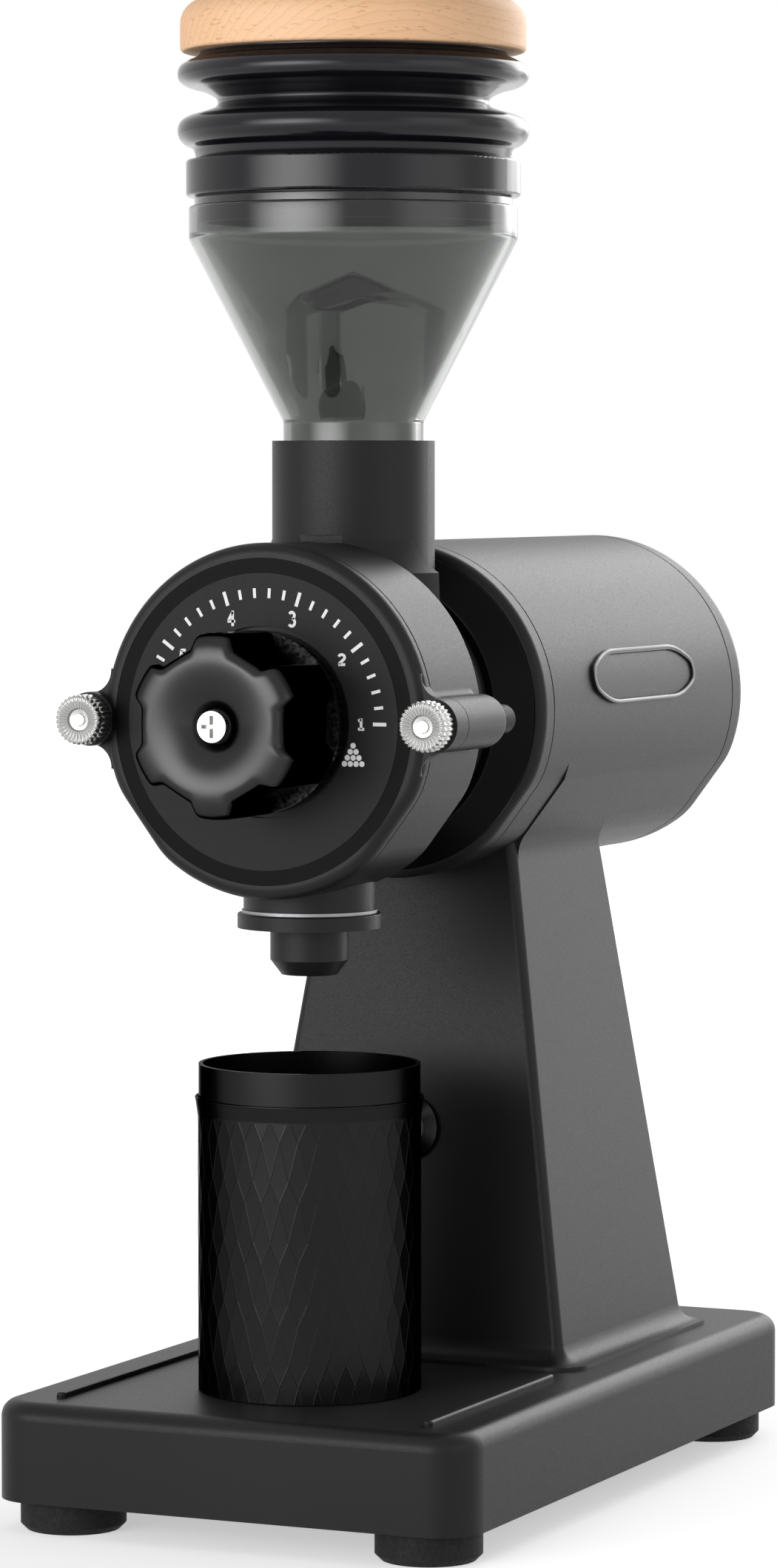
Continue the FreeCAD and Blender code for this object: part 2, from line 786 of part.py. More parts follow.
def make_control_board():
    """A circuit board on four posts, with its transformer and terminal block."""
    board_z = base_top + 6.0
    board = box(44.0, 56.0, 1.6, 0, 30.0, board_z)
    posts = [cylinder(3.0, 6.0, x, y, base_top) for x, y in corners_of(as_size(18.0), as_size(24.0), 30.0)]
    transformer = box(20.0, 22.0, 17.0, 9.0, 16.0, board_z + 1.6)
    terminals = box(10.0, 24.0, 11.0, -13.0, 14.0, board_z + 1.6)
    name_part("control_board", fuse(board, *posts, transformer, terminals))
    can = turned([(0, 0), (12.0, 0), (12.0, 41.0), (10.5, 42.5), (0, 42.5)], -5.0, 43.0, board_z + 1.6)
    name_part("capacitor", can)


def make_power_button():
    bezel_front = 2.4
    bezel = on_button_axis(
        [
            (d.button_radius + 0.35, -14.0),
            (d.barrel_radius, -14.0),
            (d.barrel_radius, 0),
            (d.bezel_radius, 0),
            (d.bezel_radius, 1.0),
            (d.button_radius + 1.6, bezel_front),
            (d.button_radius + 0.35, bezel_front - 0.5),
        ]
    )
    name_part("button_bezel", bezel)
    nut = cut(*button_nut_shapes())
    name_part("button_nut", nut)
    block = on_button_axis([(0, -30.0), (6.6, -30.0), (6.6, -14.0), (0, -14.0)])
    name_part("switch_block", block)
    cap = on_button_axis([(0, -9.0), (d.button_radius, -9.0), (d.button_radius, 1.6), (3.0, 2.2), (0, 2.2)])
    name_part("power_button", cap)


def button_nut_shapes():
    """The nut's hexagon and bore, behind the stand's front wall."""
    face_y, outward = button_axis()
    inward = V(0, 0, 0) - outward
    turn = FreeCAD.Rotation(V(0, 0, 1), inward)
    depth = d.stand_wall
    nut_y = face_y + depth * inward.y
    nut_z = d.button_z + depth * inward.z
    nut = hexagon(15.0, 3.0, 0, nut_y, nut_z, turn)
    bore = cylinder(d.barrel_radius, 12.0, 0, face_y, d.button_z, turn)
    return nut, bore


def make_motor_ends():
    bearing_y = d.motor_front_y + 1.5
    plate = break_ends(flatted_tube(d.motor_radius, d.motor_front_y, d.motor_seam_y), d.motor_seam_y)
    plate = round_edges(plate, d.front_round, is_across_at(d.motor_front_y))
    seat = rod(d.bearing_radius, bearing_y, d.motor_seam_y + 1.0)
    eye = rod(d.shaft_radius + 1.0, d.motor_front_y - 1.0, bearing_y + 1.0)
    holes = [
        rod(CHAMBER_BOLT[2] + d.fit, d.motor_front_y - 1.0, d.motor_front_y + 6.0, x, z)
        for x, z in around_axis(4, CHAMBER_BOLT_RING, 45.0)
    ]
    name_part("motor_front_plate", cut(plate, seat, eye, *holes))
    name_part("front_bearing", ring_on_axis(d.bearing_radius, bearing_y, bearing_y + d.bearing_width))

    rear_bearing_y = d.cap_seam_y - 5.5
    end_wall_y = d.motor_rear_y - 3.6
    cap = break_ends(flatted_tube(d.motor_radius, d.cap_seam_y, d.motor_rear_y), d.cap_seam_y)
    cap = round_edges(cap, d.cap_round, is_across_at(d.motor_rear_y))
    hollow = rod(d.motor_radius - 6.0, d.cap_seam_y - 1.0, end_wall_y)
    hub = rod(d.bearing_radius + 3.0, rear_bearing_y, end_wall_y + 1.0)
    seat = rod(d.bearing_radius, rear_bearing_y - 1.0, rear_bearing_y + d.bearing_width)
    posts = [rod(4.6, d.cap_seam_y, end_wall_y + 1.0, x, z) for x, z in around_axis(4, CAP_SCREW_RING, 45.0)]
    clear = [
        rod(CAP_SCREW[2] + 0.2, d.cap_seam_y - 1.0, d.motor_rear_y + 1.0, x, z)
        for x, z in around_axis(4, CAP_SCREW_RING, 45.0)
    ]
    sunk = [
        rod(CAP_SCREW[0] + 0.3, d.motor_rear_y - 3.4, d.motor_rear_y + 1.0, x, z)
        for x, z in around_axis(4, CAP_SCREW_RING, 45.0)
    ]
    body = fuse(cut(cap, hollow), hub, *posts)
    vents = [vent(angle, end_wall_y) for angle in range(0, 360, 30)]
    name_part("motor_rear_cap", cut(body, seat, *clear, *sunk, *vents))
    name_part(
        "rear_bearing", ring_on_axis(d.bearing_radius, rear_bearing_y, rear_bearing_y + d.bearing_width)
    )
    screws = [
        screw_forward(*CAP_SCREW, d.cap_seam_y - 8.0, d.motor_rear_y - 1.2, x, z)
        for x, z in around_axis(4, CAP_SCREW_RING, 45.0)
    ]
    name_part("rear_cap_screws", group(*screws))


def vent(angle, end_wall_y):
    """A radial cooling slot through the rear cap's end wall."""
    length, width = 10.0, 3.0
    slot = doc.addObject("Part::Box", "Vent")
    bind(slot, Length=length, Width=6.0, Height=width)
    lean = math.radians(angle)
    inner = 20.0
    corner_x = inner * math.cos(lean) - width / 2 * math.sin(lean)
    corner_z = d.axis_z - inner * math.sin(lean) - width / 2 * math.cos(lean)
    return place(slot, corner_x, end_wall_y - 1.0, corner_z, FreeCAD.Rotation(V(0, 1, 0), angle))


def ring_on_axis(outer, front_y, rear_y):
    """A ring about the shaft with running clearance."""
    inner = d.shaft_radius + d.fit
    return turned_on_axis([(inner, front_y), (outer, front_y), (outer, rear_y), (inner, rear_y)])


def make_badge_plate():
    """An oblong plate with a raised rim that lies on the motor tube's right side."""
    plate = common(badge_block(0.0), badge_skin(0.35))
    rim = common(cut(badge_block(0.0), badge_block(d.badge_rim)), badge_skin(0.9))
    name_part("badge_plate", fuse(plate, rim))


def badge_skin(height):
    """A thin layer on the motor tube."""
    outer = rod(d.motor_radius + height, d.cap_seam_y - 110.0, d.cap_seam_y)
    return cut(outer, rod(d.motor_radius, d.cap_seam_y - 111.0, d.cap_seam_y + 1.0))


def badge_block(inset):
    """The badge's oblong outline with long round ends, drawn in by inset, as a block along X.

    Each end is a small arc at the tip between two wide arcs that touch it and the straight sides.
    """
    half, tip = d.badge_height / 2, d.badge_tip
    reach = d.badge_length / 2 - d.badge_end
    run = d.badge_end - tip
    flank = (run * run + half * half - tip * tip) / (2 * (half - tip))
    join_y = reach + run + (tip - inset) * run / (flank - tip)
    join_z = (tip - inset) * (flank - half) / (flank - tip)
    side_z, wide, tight = half - inset, flank - inset, tip - inset
    outline = [
        (-reach, side_z),
        (reach, side_z, wide, "left"),
        (join_y, join_z, tight, "left"),
        (join_y, -join_z, wide, "left"),
        (reach, -side_z),
        (-reach, -side_z, wide, "left"),
        (-join_y, -join_z, tight, "left"),
        (-join_y, join_z, wide, "left"),
    ]
    start_x, depth = d.motor_radius - 8.0, 12.0
    return padded_outline(outline, depth, start_x, d.badge_y, d.axis_z + d.badge_rise, FACING_X)


def make_motor_inside():
    front, rear = d.stator_front_y, d.stator_rear_y
    bore = d.rotor_radius + d.air_gap
    stator = turned_on_axis([(bore, front), (d.motor_bore, front), (d.motor_bore, rear), (bore, rear)])
    name_part("stator_core", stator)
    ends = winding(front - d.winding_reach, front), winding(rear, rear + d.winding_reach)
    name_part("stator_windings", group(*ends))
    shaft = d.shaft_radius
    core = turned_on_axis([(shaft, front), (d.rotor_radius, front), (d.rotor_radius, rear), (shaft, rear)])
    name_part("rotor_core", core)
    spider_rear = d.fixed_face_y + d.burr_gap + d.burr_thick + d.spider_thick
    tip = spider_rear - 9.3
    shaft_rear = d.cap_seam_y + 2.4
    thread = 4.0
    stepped = turned_on_axis(
        [
            (0, tip),
            (thread, tip),
            (thread, spider_rear),
            (shaft, spider_rear),
            (shaft, shaft_rear),
            (0, shaft_rear),
        ]
    )
    name_part("motor_shaft", stepped)
    name_part("cooling_fan", make_fan())


def winding(front_y, rear_y):
    """One end turn of the stator's winding, a rounded ring."""
    inner, outer = d.rotor_radius + 2.0, d.motor_bore - 3.0
    ring = turned_on_axis([(inner, front_y), (outer, front_y), (outer, rear_y), (inner, rear_y)])
    free_end = front_y if rear_y is d.stator_front_y else rear_y
    return round_rims(ring, as_size(3.0), [(inner, free_end), (outer, free_end)])


def make_fan():
    front, rear = d.fan_front_y, d.fan_rear_y
    disc = rod(d.fan_radius, front, front + 2.0)
    hub = rod(10.0, front, rear)
    blades = []
    for step in range(9):
        angle = 40.0 * step
        lean = math.radians(angle)
        blade = doc.addObject("Part::Box", "Blade")
        bind(blade, Length=d.fan_radius - 10.0, Width=rear - front, Height=1.6)
        corner_x = 9.0 * math.cos(lean)
        corner_z = d.axis_z - 9.0 * math.sin(lean)
        blades.append(place(blade, corner_x, front, corner_z, FreeCAD.Rotation(V(0, 1, 0), angle)))
    return cut(fuse(disc, hub, *blades), rod(d.shaft_radius, front - 1.0, rear + 1.0))


def adapter_outside():
    """The flared ring between the feed barrel and the motor, as a solid block."""
    front, rear = d.barrel_rear_y, d.motor_front_y
    small, large = d.adapter_small, d.adapter_large
    return turned_on_axis(
        [(0, front), (small, front), (small, front + 2.0), (large, rear - 1.4), (large, rear), (0, rear)]
    )


def make_motor_adapter():
    bore = rod(18.0, d.barrel_rear_y - 1.0, d.motor_front_y + 1.0)
    holes = [
        rod(CHAMBER_BOLT[2] + 0.2, d.barrel_rear_y - 1.0, d.motor_front_y + 1.0, x, z)
        for x, z in around_axis(4, CHAMBER_BOLT_RING, 45.0)
    ]
    name_part("motor_adapter", cut(adapter_outside(), bore, *holes))
    seal = turned_on_axis(
        [
            (d.shaft_radius + d.fit, d.auger_rear_y),
            (9.0, d.auger_rear_y),
            (9.0, d.barrel_rear_y),
            (d.shaft_radius + d.fit, d.barrel_rear_y),
        ]
    )
    name_part("shaft_seal", seal)


def make_grinding_chamber():
    ring = flatted_tube(d.chamber_radius, d.chamber_front_y, d.chamber_rear_y)
    ring = round_edges(ring, d.chamber_round, is_across_at(d.chamber_rear_y))
    barrel = rod(d.barrel_outer, d.chamber_rear_y - 1.0, d.barrel_rear_y)
    neck = cylinder(d.neck_radius, d.neck_top - d.axis_z, 0, d.neck_y, d.axis_z)
    neck = cut(neck, adapter_outside())
    root = d.neck_radius + 6.8
    saddle = turned(
        [
            (0, d.axis_z + 16.0),
            (root + 0.8, d.axis_z + 16.0),
            (root, d.axis_z + 37.5, 16.0, "left"),
            (d.neck_radius - 0.3, d.axis_z + d.chamber_radius + 9.2),
            (0, d.axis_z + d.chamber_radius + 9.2),
        ],
        y=d.neck_y,
    )
    saddle_rear, saddle_depth = d.neck_y - 6.5, 30.0
    saddle = common(saddle, box(70.0, saddle_depth, 60.0, 0, saddle_rear - saddle_depth / 2, d.axis_z))
    duct = cylinder(d.duct_radius, 20.0, 0, d.spout_y, d.duct_low)
    bosses = [rod(d.boss_radius, d.chamber_front_y, d.boss_rear_y, d.boss_x * side) for side in (-1, 1)]
    bosses = [round_edges(boss, d.boss_end_round, is_across_at(d.boss_rear_y)) for boss in bosses]
    solid = fuse_in_turn(ring, barrel, neck, saddle, duct, *bosses)
    solid = break_ends(round_edges(solid, d.boss_blend, is_boss_root), d.chamber_front_y)
    tools = [
        rod(d.chamber_bore, d.chamber_front_y - 1.0, d.chamber_wall_y),
        rod(d.auger_bore, d.chamber_wall_y - 1.0, d.auger_rear_y),
        rod(9.0, d.auger_rear_y - 1.0, d.barrel_rear_y + 1.0),
        cylinder(d.socket_radius, d.neck_top - d.socket_floor + 1.0, 0, d.neck_y, d.socket_floor),
        cylinder(d.throat_radius, d.socket_floor - d.axis_z + 1.0, 0, d.throat_y, d.axis_z),
        cylinder(d.outlet_radius, 18.0, 0, d.outlet_y, d.duct_low - 1.0),
        cylinder(13.5, 3.7, 0, d.spout_y, d.duct_low - 0.1),
        box(12.4, 10.0, 2.2, 0, d.neck_y - d.neck_radius - 4.0, d.axis_z + d.chamber_radius - 0.6),
    ]
    for side in (-1, 1):
        x = d.boss_x * side
        tools.append(rod(d.screw_shank_radius + 0.25, d.chamber_front_y - 1.0, d.chamber_front_y + 20.0, x))
        tools.append(rod(d.stud_radius, d.stud_front_y, d.chamber_rear_y + 1.0, x))
    for x, z in around_axis(4, CHAMBER_BOLT_RING, 45.0):
        tools.append(rod(CHAMBER_BOLT[2] + 0.2, d.chamber_wall_y - 1.0, d.barrel_rear_y + 1.0, x, z))
        tools.append(rod(CHAMBER_BOLT[0] + 0.3, d.chamber_wall_y - 1.0, d.chamber_wall_y + 5.0, x, z))
    name_part("grinding_chamber", cut(solid, *tools))
    studs = [rod(d.stud_radius, d.stud_front_y, d.stud_rear_y, d.boss_x * side) for side in (-1, 1)]
    studs = [round_edges(stud, d.stud_round, is_across_at(d.stud_rear_y)) for stud in studs]
    name_part("boss_studs", group(*studs))
    bolts = [
        screw_back(*CHAMBER_BOLT, d.chamber_wall_y + 0.4, d.motor_front_y + 5.0, x, z)
        for x, z in around_axis(4, CHAMBER_BOLT_RING, 45.0)
    ]
    name_part("chamber_bolts", group(*bolts))


def is_boss_root(edge):
    """True for the inside edges between the side bosses and the round wall beside them."""
    first, last = edge.Vertexes[0].Point, edge.Vertexes[-1].Point
    beside = abs(abs(first.x) - d.chamber_radius.value) < 1.0 and abs(first.z - d.axis_z.value) < 8.0
    return beside and abs(first.x - last.x) < EDGE_MATCH and abs(first.y - last.y) > 1.0


def make_spout():
    spigot, funnel = 13.4, 11.8
    top = d.duct_low + 3.4
    nozzle = turned(
        [
            (d.nozzle_bore, d.nozzle_tip),
            (d.nozzle_tip_radius, d.nozzle_tip),
            (d.nozzle_radius, d.nozzle_chamfer_z),
            (d.nozzle_radius, d.flange_low),
            (d.flange_radius, d.flange_low),
            (d.flange_radius, d.flange_top),
            (spigot, d.flange_top),
            (spigot, top),
            (funnel, top),
            (funnel, d.flange_top),
            (d.nozzle_bore, d.nozzle_chamfer_z + 3.0),
        ],
        y=d.spout_y,
    )
    name_part("spout_nozzle", round_rims(nozzle, as_size(0.6), [(d.flange_radius, d.flange_top)]))
    ring = turned(
        [
            (spigot + 0.1, d.flange_top),
            (d.duct_radius + 0.5, d.flange_top),
            (d.duct_radius + 0.5, d.duct_low),
            (spigot + 0.1, d.duct_low),
        ],
        y=d.spout_y,
    )
    name_part("spout_ring", ring)


def make_front_cover():
    disc = break_ends(flatted_tube(d.chamber_radius, d.cover_face_y, d.chamber_front_y), d.chamber_front_y)
    ears = [rod(d.boss_radius, d.ear_front_y, d.chamber_front_y, d.boss_x * side) for side in (-1, 1)]
    disc = round_edges(disc, d.cover_round, is_across_at(d.cover_face_y))
    blends = [ear_blend(side) for side in (-1, 1)]
    spigot = cut(
        rod(d.chamber_bore - 0.4, d.chamber_front_y, d.chamber_front_y + 2.0),
        rod(d.carrier_radius + 0.6, d.chamber_front_y - 1.0, d.chamber_front_y + 3.0),
    )
    hub = rod(15.0, d.recess_floor_y, d.hub_rear_y)
    pin_front = d.chamber_front_y - 2.4
    solid = fuse_in_turn(disc, *blends, *ears, spigot, hub)
    tools = [
        rod(d.band_outer, d.cover_face_y - 5.0, d.cover_face_y + d.dial_thick),
        rod(d.recess_radius, d.cover_face_y - 5.0, d.recess_floor_y),
        rod(9.0, d.recess_floor_y - 1.0, d.hub_rear_y + 1.0),
    ]
    for side in (-1, 1):
        x, pin_x = d.boss_x * side, d.guide_pin_x * side
        tools.append(rod(d.screw_shank_radius + 0.25, d.ear_front_y - 1.0, d.chamber_front_y + 1.0, x))
        tools.append(rod(d.guide_pin_radius, pin_front, d.chamber_front_y + 1.0, pin_x))
    name_part("front_cover", cut(solid, *tools))
    front, rear = d.cover_face_y, d.cover_face_y + d.dial_thick
    name_part("dial_plate", plain_ring(d.recess_radius, d.dial_outer, front, rear))
    name_part("dial_ring", plain_ring(d.dial_outer, d.band_outer, front + 0.15, rear))
    bush = turned_on_axis(
        [
            (d.spindle_radius + d.fit, d.recess_floor_y),
            (9.0, d.recess_floor_y),
            (9.0, d.hub_rear_y),
            (d.spindle_radius + d.fit, d.hub_rear_y),
        ]
    )
    name_part("spindle_bush", bush)
    pins = [rod(d.guide_pin_radius, pin_front, d.guide_pin_rear_y, d.guide_pin_x * side) for side in (-1, 1)]
    name_part("guide_pins", group(*pins))


def ear_blend(side):
    """A block with hollow flanks that leads the cover's rim into an ear."""
    inner_x, rim_x, ear_x = 40.0, 43.9, 48.0
    rim_half, hollow = 13.0, 6.0
    ear_half = d.boss_radius - 0.02
    outline = [
        (inner_x, -rim_half),
        (rim_x, -rim_half, hollow, "left"),
        (ear_x, -1.0 * ear_half),
        (ear_x, ear_half, hollow, "left"),
        (rim_x, rim_half),
        (inner_x, rim_half),
    ]
    turn = ALONG_Y if side > 0 else FreeCAD.Rotation(V(0, 1, 0), 180) * ALONG_Y
    front_y = d.cover_face_y + 1.2
    return padded_outline(outline, d.chamber_front_y - front_y, 0, front_y, d.axis_z, turn)


def plain_ring(inner, outer, front_y, rear_y):
    """A flat ring about the motor's axis."""
    return turned_on_axis([(inner, front_y), (outer, front_y), (outer, rear_y), (inner, rear_y)])


def make_knob():
    """A six-lobed knob with a dished face, its collar, screw and spindle."""
    front, rear = d.knob_face_y, d.knob_rear_y
    length = rear - front
    hexagonal = hexagon(2 * d.knob_flat, length, 0, front, d.axis_z, KNOB_TURN)
    lobes = []
    for angle in range(30, 210, 60):
        lean = math.radians(angle)
        bar = doc.addObject("Part::Box", "Lobe")
        bind(bar, Length=60.0, Width=length, Height=d.knob_lobe_width)
        half = d.knob_lobe_width / 2
        corner_x = -30.0 * math.cos(lean) - half * math.sin(lean)
        corner_z = d.axis_z + 30.0 * math.sin(lean) - half * math.cos(lean)
        lobes.append(place(bar, corner_x, front, corner_z, FreeCAD.Rotation(V(0, 1, 0), angle)))
    outline = common(fuse(hexagonal, *lobes), rod(d.knob_radius, front, rear))
    outline = round_edges(outline, d.knob_edge, is_knob_flank)
    outline = round_edges(outline, d.knob_front_edge, is_across_at(front))
    dish_floor = front + d.dish_depth
    dish = turned_on_axis(
        [
            (0, front - 1.0),
            (d.dish_radius, front - 1.0),
            (d.dish_radius, front, d.dish_round, "left"),
            (4.6, dish_floor),
            (0, dish_floor),
        ]
    )
    bore = rod(d.spindle_radius, d.spindle_front_y, rear + 1.0)
    hole = rod(2.2, dish_floor - 1.0, d.spindle_front_y + 1.0)
    name_part("adjust_knob", cut(outline, dish, bore, hole))
    head = 3.0
    screw = screw_back(4.0, head, 2.0, dish_floor - head, d.spindle_front_y + 8.0, 0, d.axis_z)
    name_part("knob_screw", cut(screw, *cross_slots(dish_floor - head)))
    collar = turned_on_axis(
        [
            (d.spindle_radius, rear),
            (d.collar_radius, rear),
            (d.collar_radius, d.recess_floor_y - 0.5),
            (d.spindle_radius, d.recess_floor_y - 0.5),
        ]
    )
    name_part("knob_collar", collar)
    spindle = rod(d.spindle_radius, d.spindle_front_y, d.spindle_rear_y)
    name_part("adjust_spindle", cut(spindle, rod(2.0, d.spindle_front_y - 1.0, d.spindle_front_y + 9.0)))


def is_knob_flank(edge):
    """True for the long edges of the knob, along its axis."""
    first, last = edge.Vertexes[0].Point, edge.Vertexes[-1].Point
    return abs(first.y - last.y) > 5.0


def cross_slots(front_y):
    """The cross recess of the knob's screw."""
    long, wide, deep = 5.6, 1.0, 1.6
    return [
        box(long, 2 * deep, wide, 0, front_y, d.axis_z - wide / 2),
        box(wide, 2 * deep, long, 0, front_y, d.axis_z - long / 2),
    ]


def make_thumbscrews():
    """Captive screws through the cover's ears, with a knurled head and a dished face."""
    face, head_rear = d.screw_face_y, d.ear_front_y
    groove = face + 2.2
    for name, side in (("thumbscrew_left", -1), ("thumbscrew_right", 1)):
        radius = d.screw_head_radius
        screw = turned(
            [
                (0, face + 1.4),
                (1.4, face + 1.4),
                (3.0, face + 0.5),
                (radius - 1.4, face),
                (radius - 0.5, face),
                (radius, face + 0.5),
                (radius, groove),
                (radius - 0.5, groove + 0.4),
                (radius, groove + 0.8),
                (radius, head_rear - 0.6),
                (radius - 0.6, head_rear),
                (d.screw_shank_radius, head_rear),
                (d.screw_shank_radius, d.chamber_front_y + 17.0),
                (0, d.chamber_front_y + 17.0),
            ],
            x=d.boss_x * side,
            z=d.axis_z,
            turn=ALONG_Y,
        )
        name_part(name, screw)


def burr(face_y, back_y):
    """A flat burr: a ring whose face is hollowed towards the bore."""
    rise = as_size(face_y) - back_y
    return turned_on_axis(
        [
            (d.burr_bore, back_y),
            (d.burr_radius, back_y),
            (d.burr_radius, face_y),
            (d.burr_radius - 6.0, face_y),
            (d.burr_bore, back_y + rise * 0.45),
        ]
    )


def make_fixed_burr():
    back = d.fixed_face_y - d.burr_thick
    front = back - d.carrier_thick
    disc = rod(d.carrier_radius, front, back)
    places = list(around_axis(3, d.burr_screw_ring, 90.0))
    tools = [rod(d.spindle_radius + d.fit, front - 1.0, back + 1.0)]
    pin_hole = d.guide_pin_radius + d.fit
    tools += [rod(pin_hole, front - 1.0, back + 1.0, d.guide_pin_x * side) for side in (-1, 1)]
    tools += [rod(BURR_SCREW[2] + d.fit, front - 1.0, back + 1.0, x, z) for x, z in places]
    name_part("burr_carrier", cut(disc, *tools))
    sink = d.fixed_face_y - 1.0
    holes = [rod(BURR_SCREW[2] + d.fit, back - 1.0, d.fixed_face_y + 1.0, x, z) for x, z in places]
    sinks = [rod(BURR_SCREW[0] + 0.2, sink - BURR_SCREW[1], d.fixed_face_y + 1.0, x, z) for x, z in places]
    name_part("fixed_burr", cut(burr(d.fixed_face_y, back), *holes, *sinks))
    screws = [screw_forward(*BURR_SCREW, front + 0.4, sink, x, z) for x, z in places]
    name_part("fixed_burr_screws", group(*screws))


def make_rotating_burr():
    face = d.fixed_face_y + d.burr_gap
    back = face + d.burr_thick
    rear = back + d.spider_thick
    places = list(around_axis(3, d.burr_screw_ring, 90.0))
    sink = face + 1.0
    holes = [rod(BURR_SCREW[2] + d.fit, face - 1.0, back + 1.0, x, z) for x, z in places]
    sinks = [rod(BURR_SCREW[0] + 0.2, face - 1.0, sink + BURR_SCREW[1], x, z) for x, z in places]
    name_part("rotating_burr", cut(burr(face, back), *holes, *sinks))
    screws = [screw_back(*BURR_SCREW, sink, rear - 0.4, x, z) for x, z in places]
    name_part("rotating_burr_screws", group(*screws))

    hub_radius, arm_width = 9.0, 6.0
    window = cut(rod(d.burr_bore, back - 1.0, rear + 1.0), rod(hub_radius, back - 2.0, rear + 2.0))
    arms = []
    for angle in (30.0, 150.0, 270.0):
        lean = math.radians(angle)
        arm = doc.addObject("Part::Box", "Arm")
        bind(arm, Length=d.burr_bore + 2.0, Width=d.spider_thick + 6.0, Height=arm_width)
        half = arm_width / 2
        arms.append(
            place(
                arm,
                -half * math.sin(lean),
                back - 3.0,
                d.axis_z - half * math.cos(lean),
                FreeCAD.Rotation(V(0, 1, 0), angle),
            )
        )
    wiper = box(d.chamber_bore * 2 - 2.4, d.spider_thick, 4.0, 0, (back + rear) / 2, d.axis_z - 2.0)
    plate = fuse(cut(rod(d.burr_radius + 1.0, back, rear), cut(window, *arms)), wiper_ends(wiper))
    tools = [rod(4.0, back - 1.0, rear + 1.0)]
    tools += [rod(BURR_SCREW[2] + d.fit, back - 1.0, rear + 1.0, x, z) for x, z in places]
    name_part("burr_spider", cut(plate, *tools))
    nut = cut(hexagon(13.0, 5.0, 0, back - 5.0, d.axis_z, ALONG_Y), rod(4.0, back - 6.0, back + 1.0))
    name_part("shaft_nut", nut)


def wiper_ends(bar):
    """The two sweeping blades outside the rotating burr."""
    return cut(bar, rod(d.burr_radius, d.chamber_front_y, d.chamber_wall_y))


def make_feed_auger():
    """A sleeve with a helical flight that pushes the beans forward to the burrs."""
    front, rear = d.chamber_wall_y + 3.0, d.auger_rear_y - 1.5
    sleeve_radius = 8.0
    pitch = 14.0
    tip_radius = d.auger_bore.value - 1.0
    flight_length = rear.value - front.value - 4.0
    helix = Part.makeHelix(pitch, flight_length, sleeve_radius)
    root, width = sleeve_radius - 0.6, 2.4
    section = Part.makePolygon(
        [V(root, 0, 0), V(tip_radius, 0, 0), V(tip_radius, 0, width), V(root, 0, width), V(root, 0, 0)]
    )
    flight = Part.Wire(helix.Edges).makePipeShell([section], True, True)
    sleeve = Part.makeCylinder(sleeve_radius, rear.value - front.value)
    bore = Part.makeCylinder(d.shaft_radius.value, rear.value - front.value)
    flight.translate(V(0, 0, 0.8))
    auger = doc.addObject("Part::Feature", "Auger")
    auger.Shape = sleeve.fuse(Part.Solid(flight)).cut(bore)
    auger.Placement = FreeCAD.Placement(V(0, front.value, d.axis_z.value), ALONG_Y)
    name_part("feed_auger", auger)


def make_hopper():
    wall = d.hopper_wall
    slope = (d.hopper_radius - d.spigot_radius) / (d.cone_high - d.cone_low)
    lean = wall * 1.1
    inner_low = d.cone_low + lean - wall * slope
    inner_high = d.cone_high + lean - wall * slope
    hopper = turned(
        [
            (d.spigot_radius - wall, d.socket_floor + 0.2),
            (d.spigot_radius, d.socket_floor + 0.2),
            (d.spigot_radius, d.cone_low),
            (d.hopper_radius, d.cone_high),
            (d.hopper_radius, d.band_top),
            (d.hopper_lip_radius, d.band_top),
            (d.hopper_lip_radius, d.hopper_top),
            (d.hopper_radius - wall, d.hopper_top),
            (d.hopper_radius - wall, inner_high),
            (d.spigot_radius - wall, inner_low),
        ],
        y=d.neck_y,
    )
    hopper = round_rims(hopper, as_size(0.8), [(d.hopper_radius, d.band_top)])
    hopper = round_rims(hopper, as_size(2.5), [(d.hopper_radius, d.cone_high)])
    name_part("hopper", hopper)
    inside = turned(
        [
            (0, inner_low),
            (d.spigot_radius - wall, inner_low),
            (d.hopper_radius - wall, inner_high),
            (0, inner_high),
        ],
        y=d.neck_y,
    )
    name_part("hopper_baffle", common(make_baffle(), inside))


POST_ANGLES = (-81.0, 39.0, 159.0)


def baffle_outline():
    """The roof seen from above: a triangle with a round corner over each post."""
    outline = []
    for angle in POST_ANGLES:
        for turn in (-60.0, 60.0):
            lean, side = math.radians(angle), math.radians(angle + turn)
            x = d.post_ring * math.cos(lean) + d.post_radius * math.cos(side)
            y = d.post_ring * math.sin(lean) + d.post_radius * math.sin(side)
            outline.append((x, y, d.post_radius, "right") if turn < 0.0 else (x, y))
    return outline


def make_baffle():
    """A shallow three-sided roof on posts that keeps beans from jumping back."""
    reach = d.post_ring + d.post_radius
    shell = turned(
        [
            (0, d.roof_apex - d.roof_thick),
            (0, d.roof_apex),
            (reach + 1.0, d.roof_eaves),
            (reach + 1.0, d.roof_eaves - d.roof_thick),
        ],
        y=d.neck_y,
    )
    low = d.roof_eaves - 5.0
    roof = common(shell, padded_outline(baffle_outline(), d.roof_apex - low + 1.0, 0, d.neck_y, low))
    posts = []
    for angle in POST_ANGLES:
        lean = math.radians(angle)
        x = d.post_ring * math.cos(lean)
        y = d.neck_y + d.post_ring * math.sin(lean)
        posts.append(cylinder(d.post_radius - 0.1, d.roof_eaves - d.cone_low, x, y, d.cone_low))
    return fuse(roof, *posts)


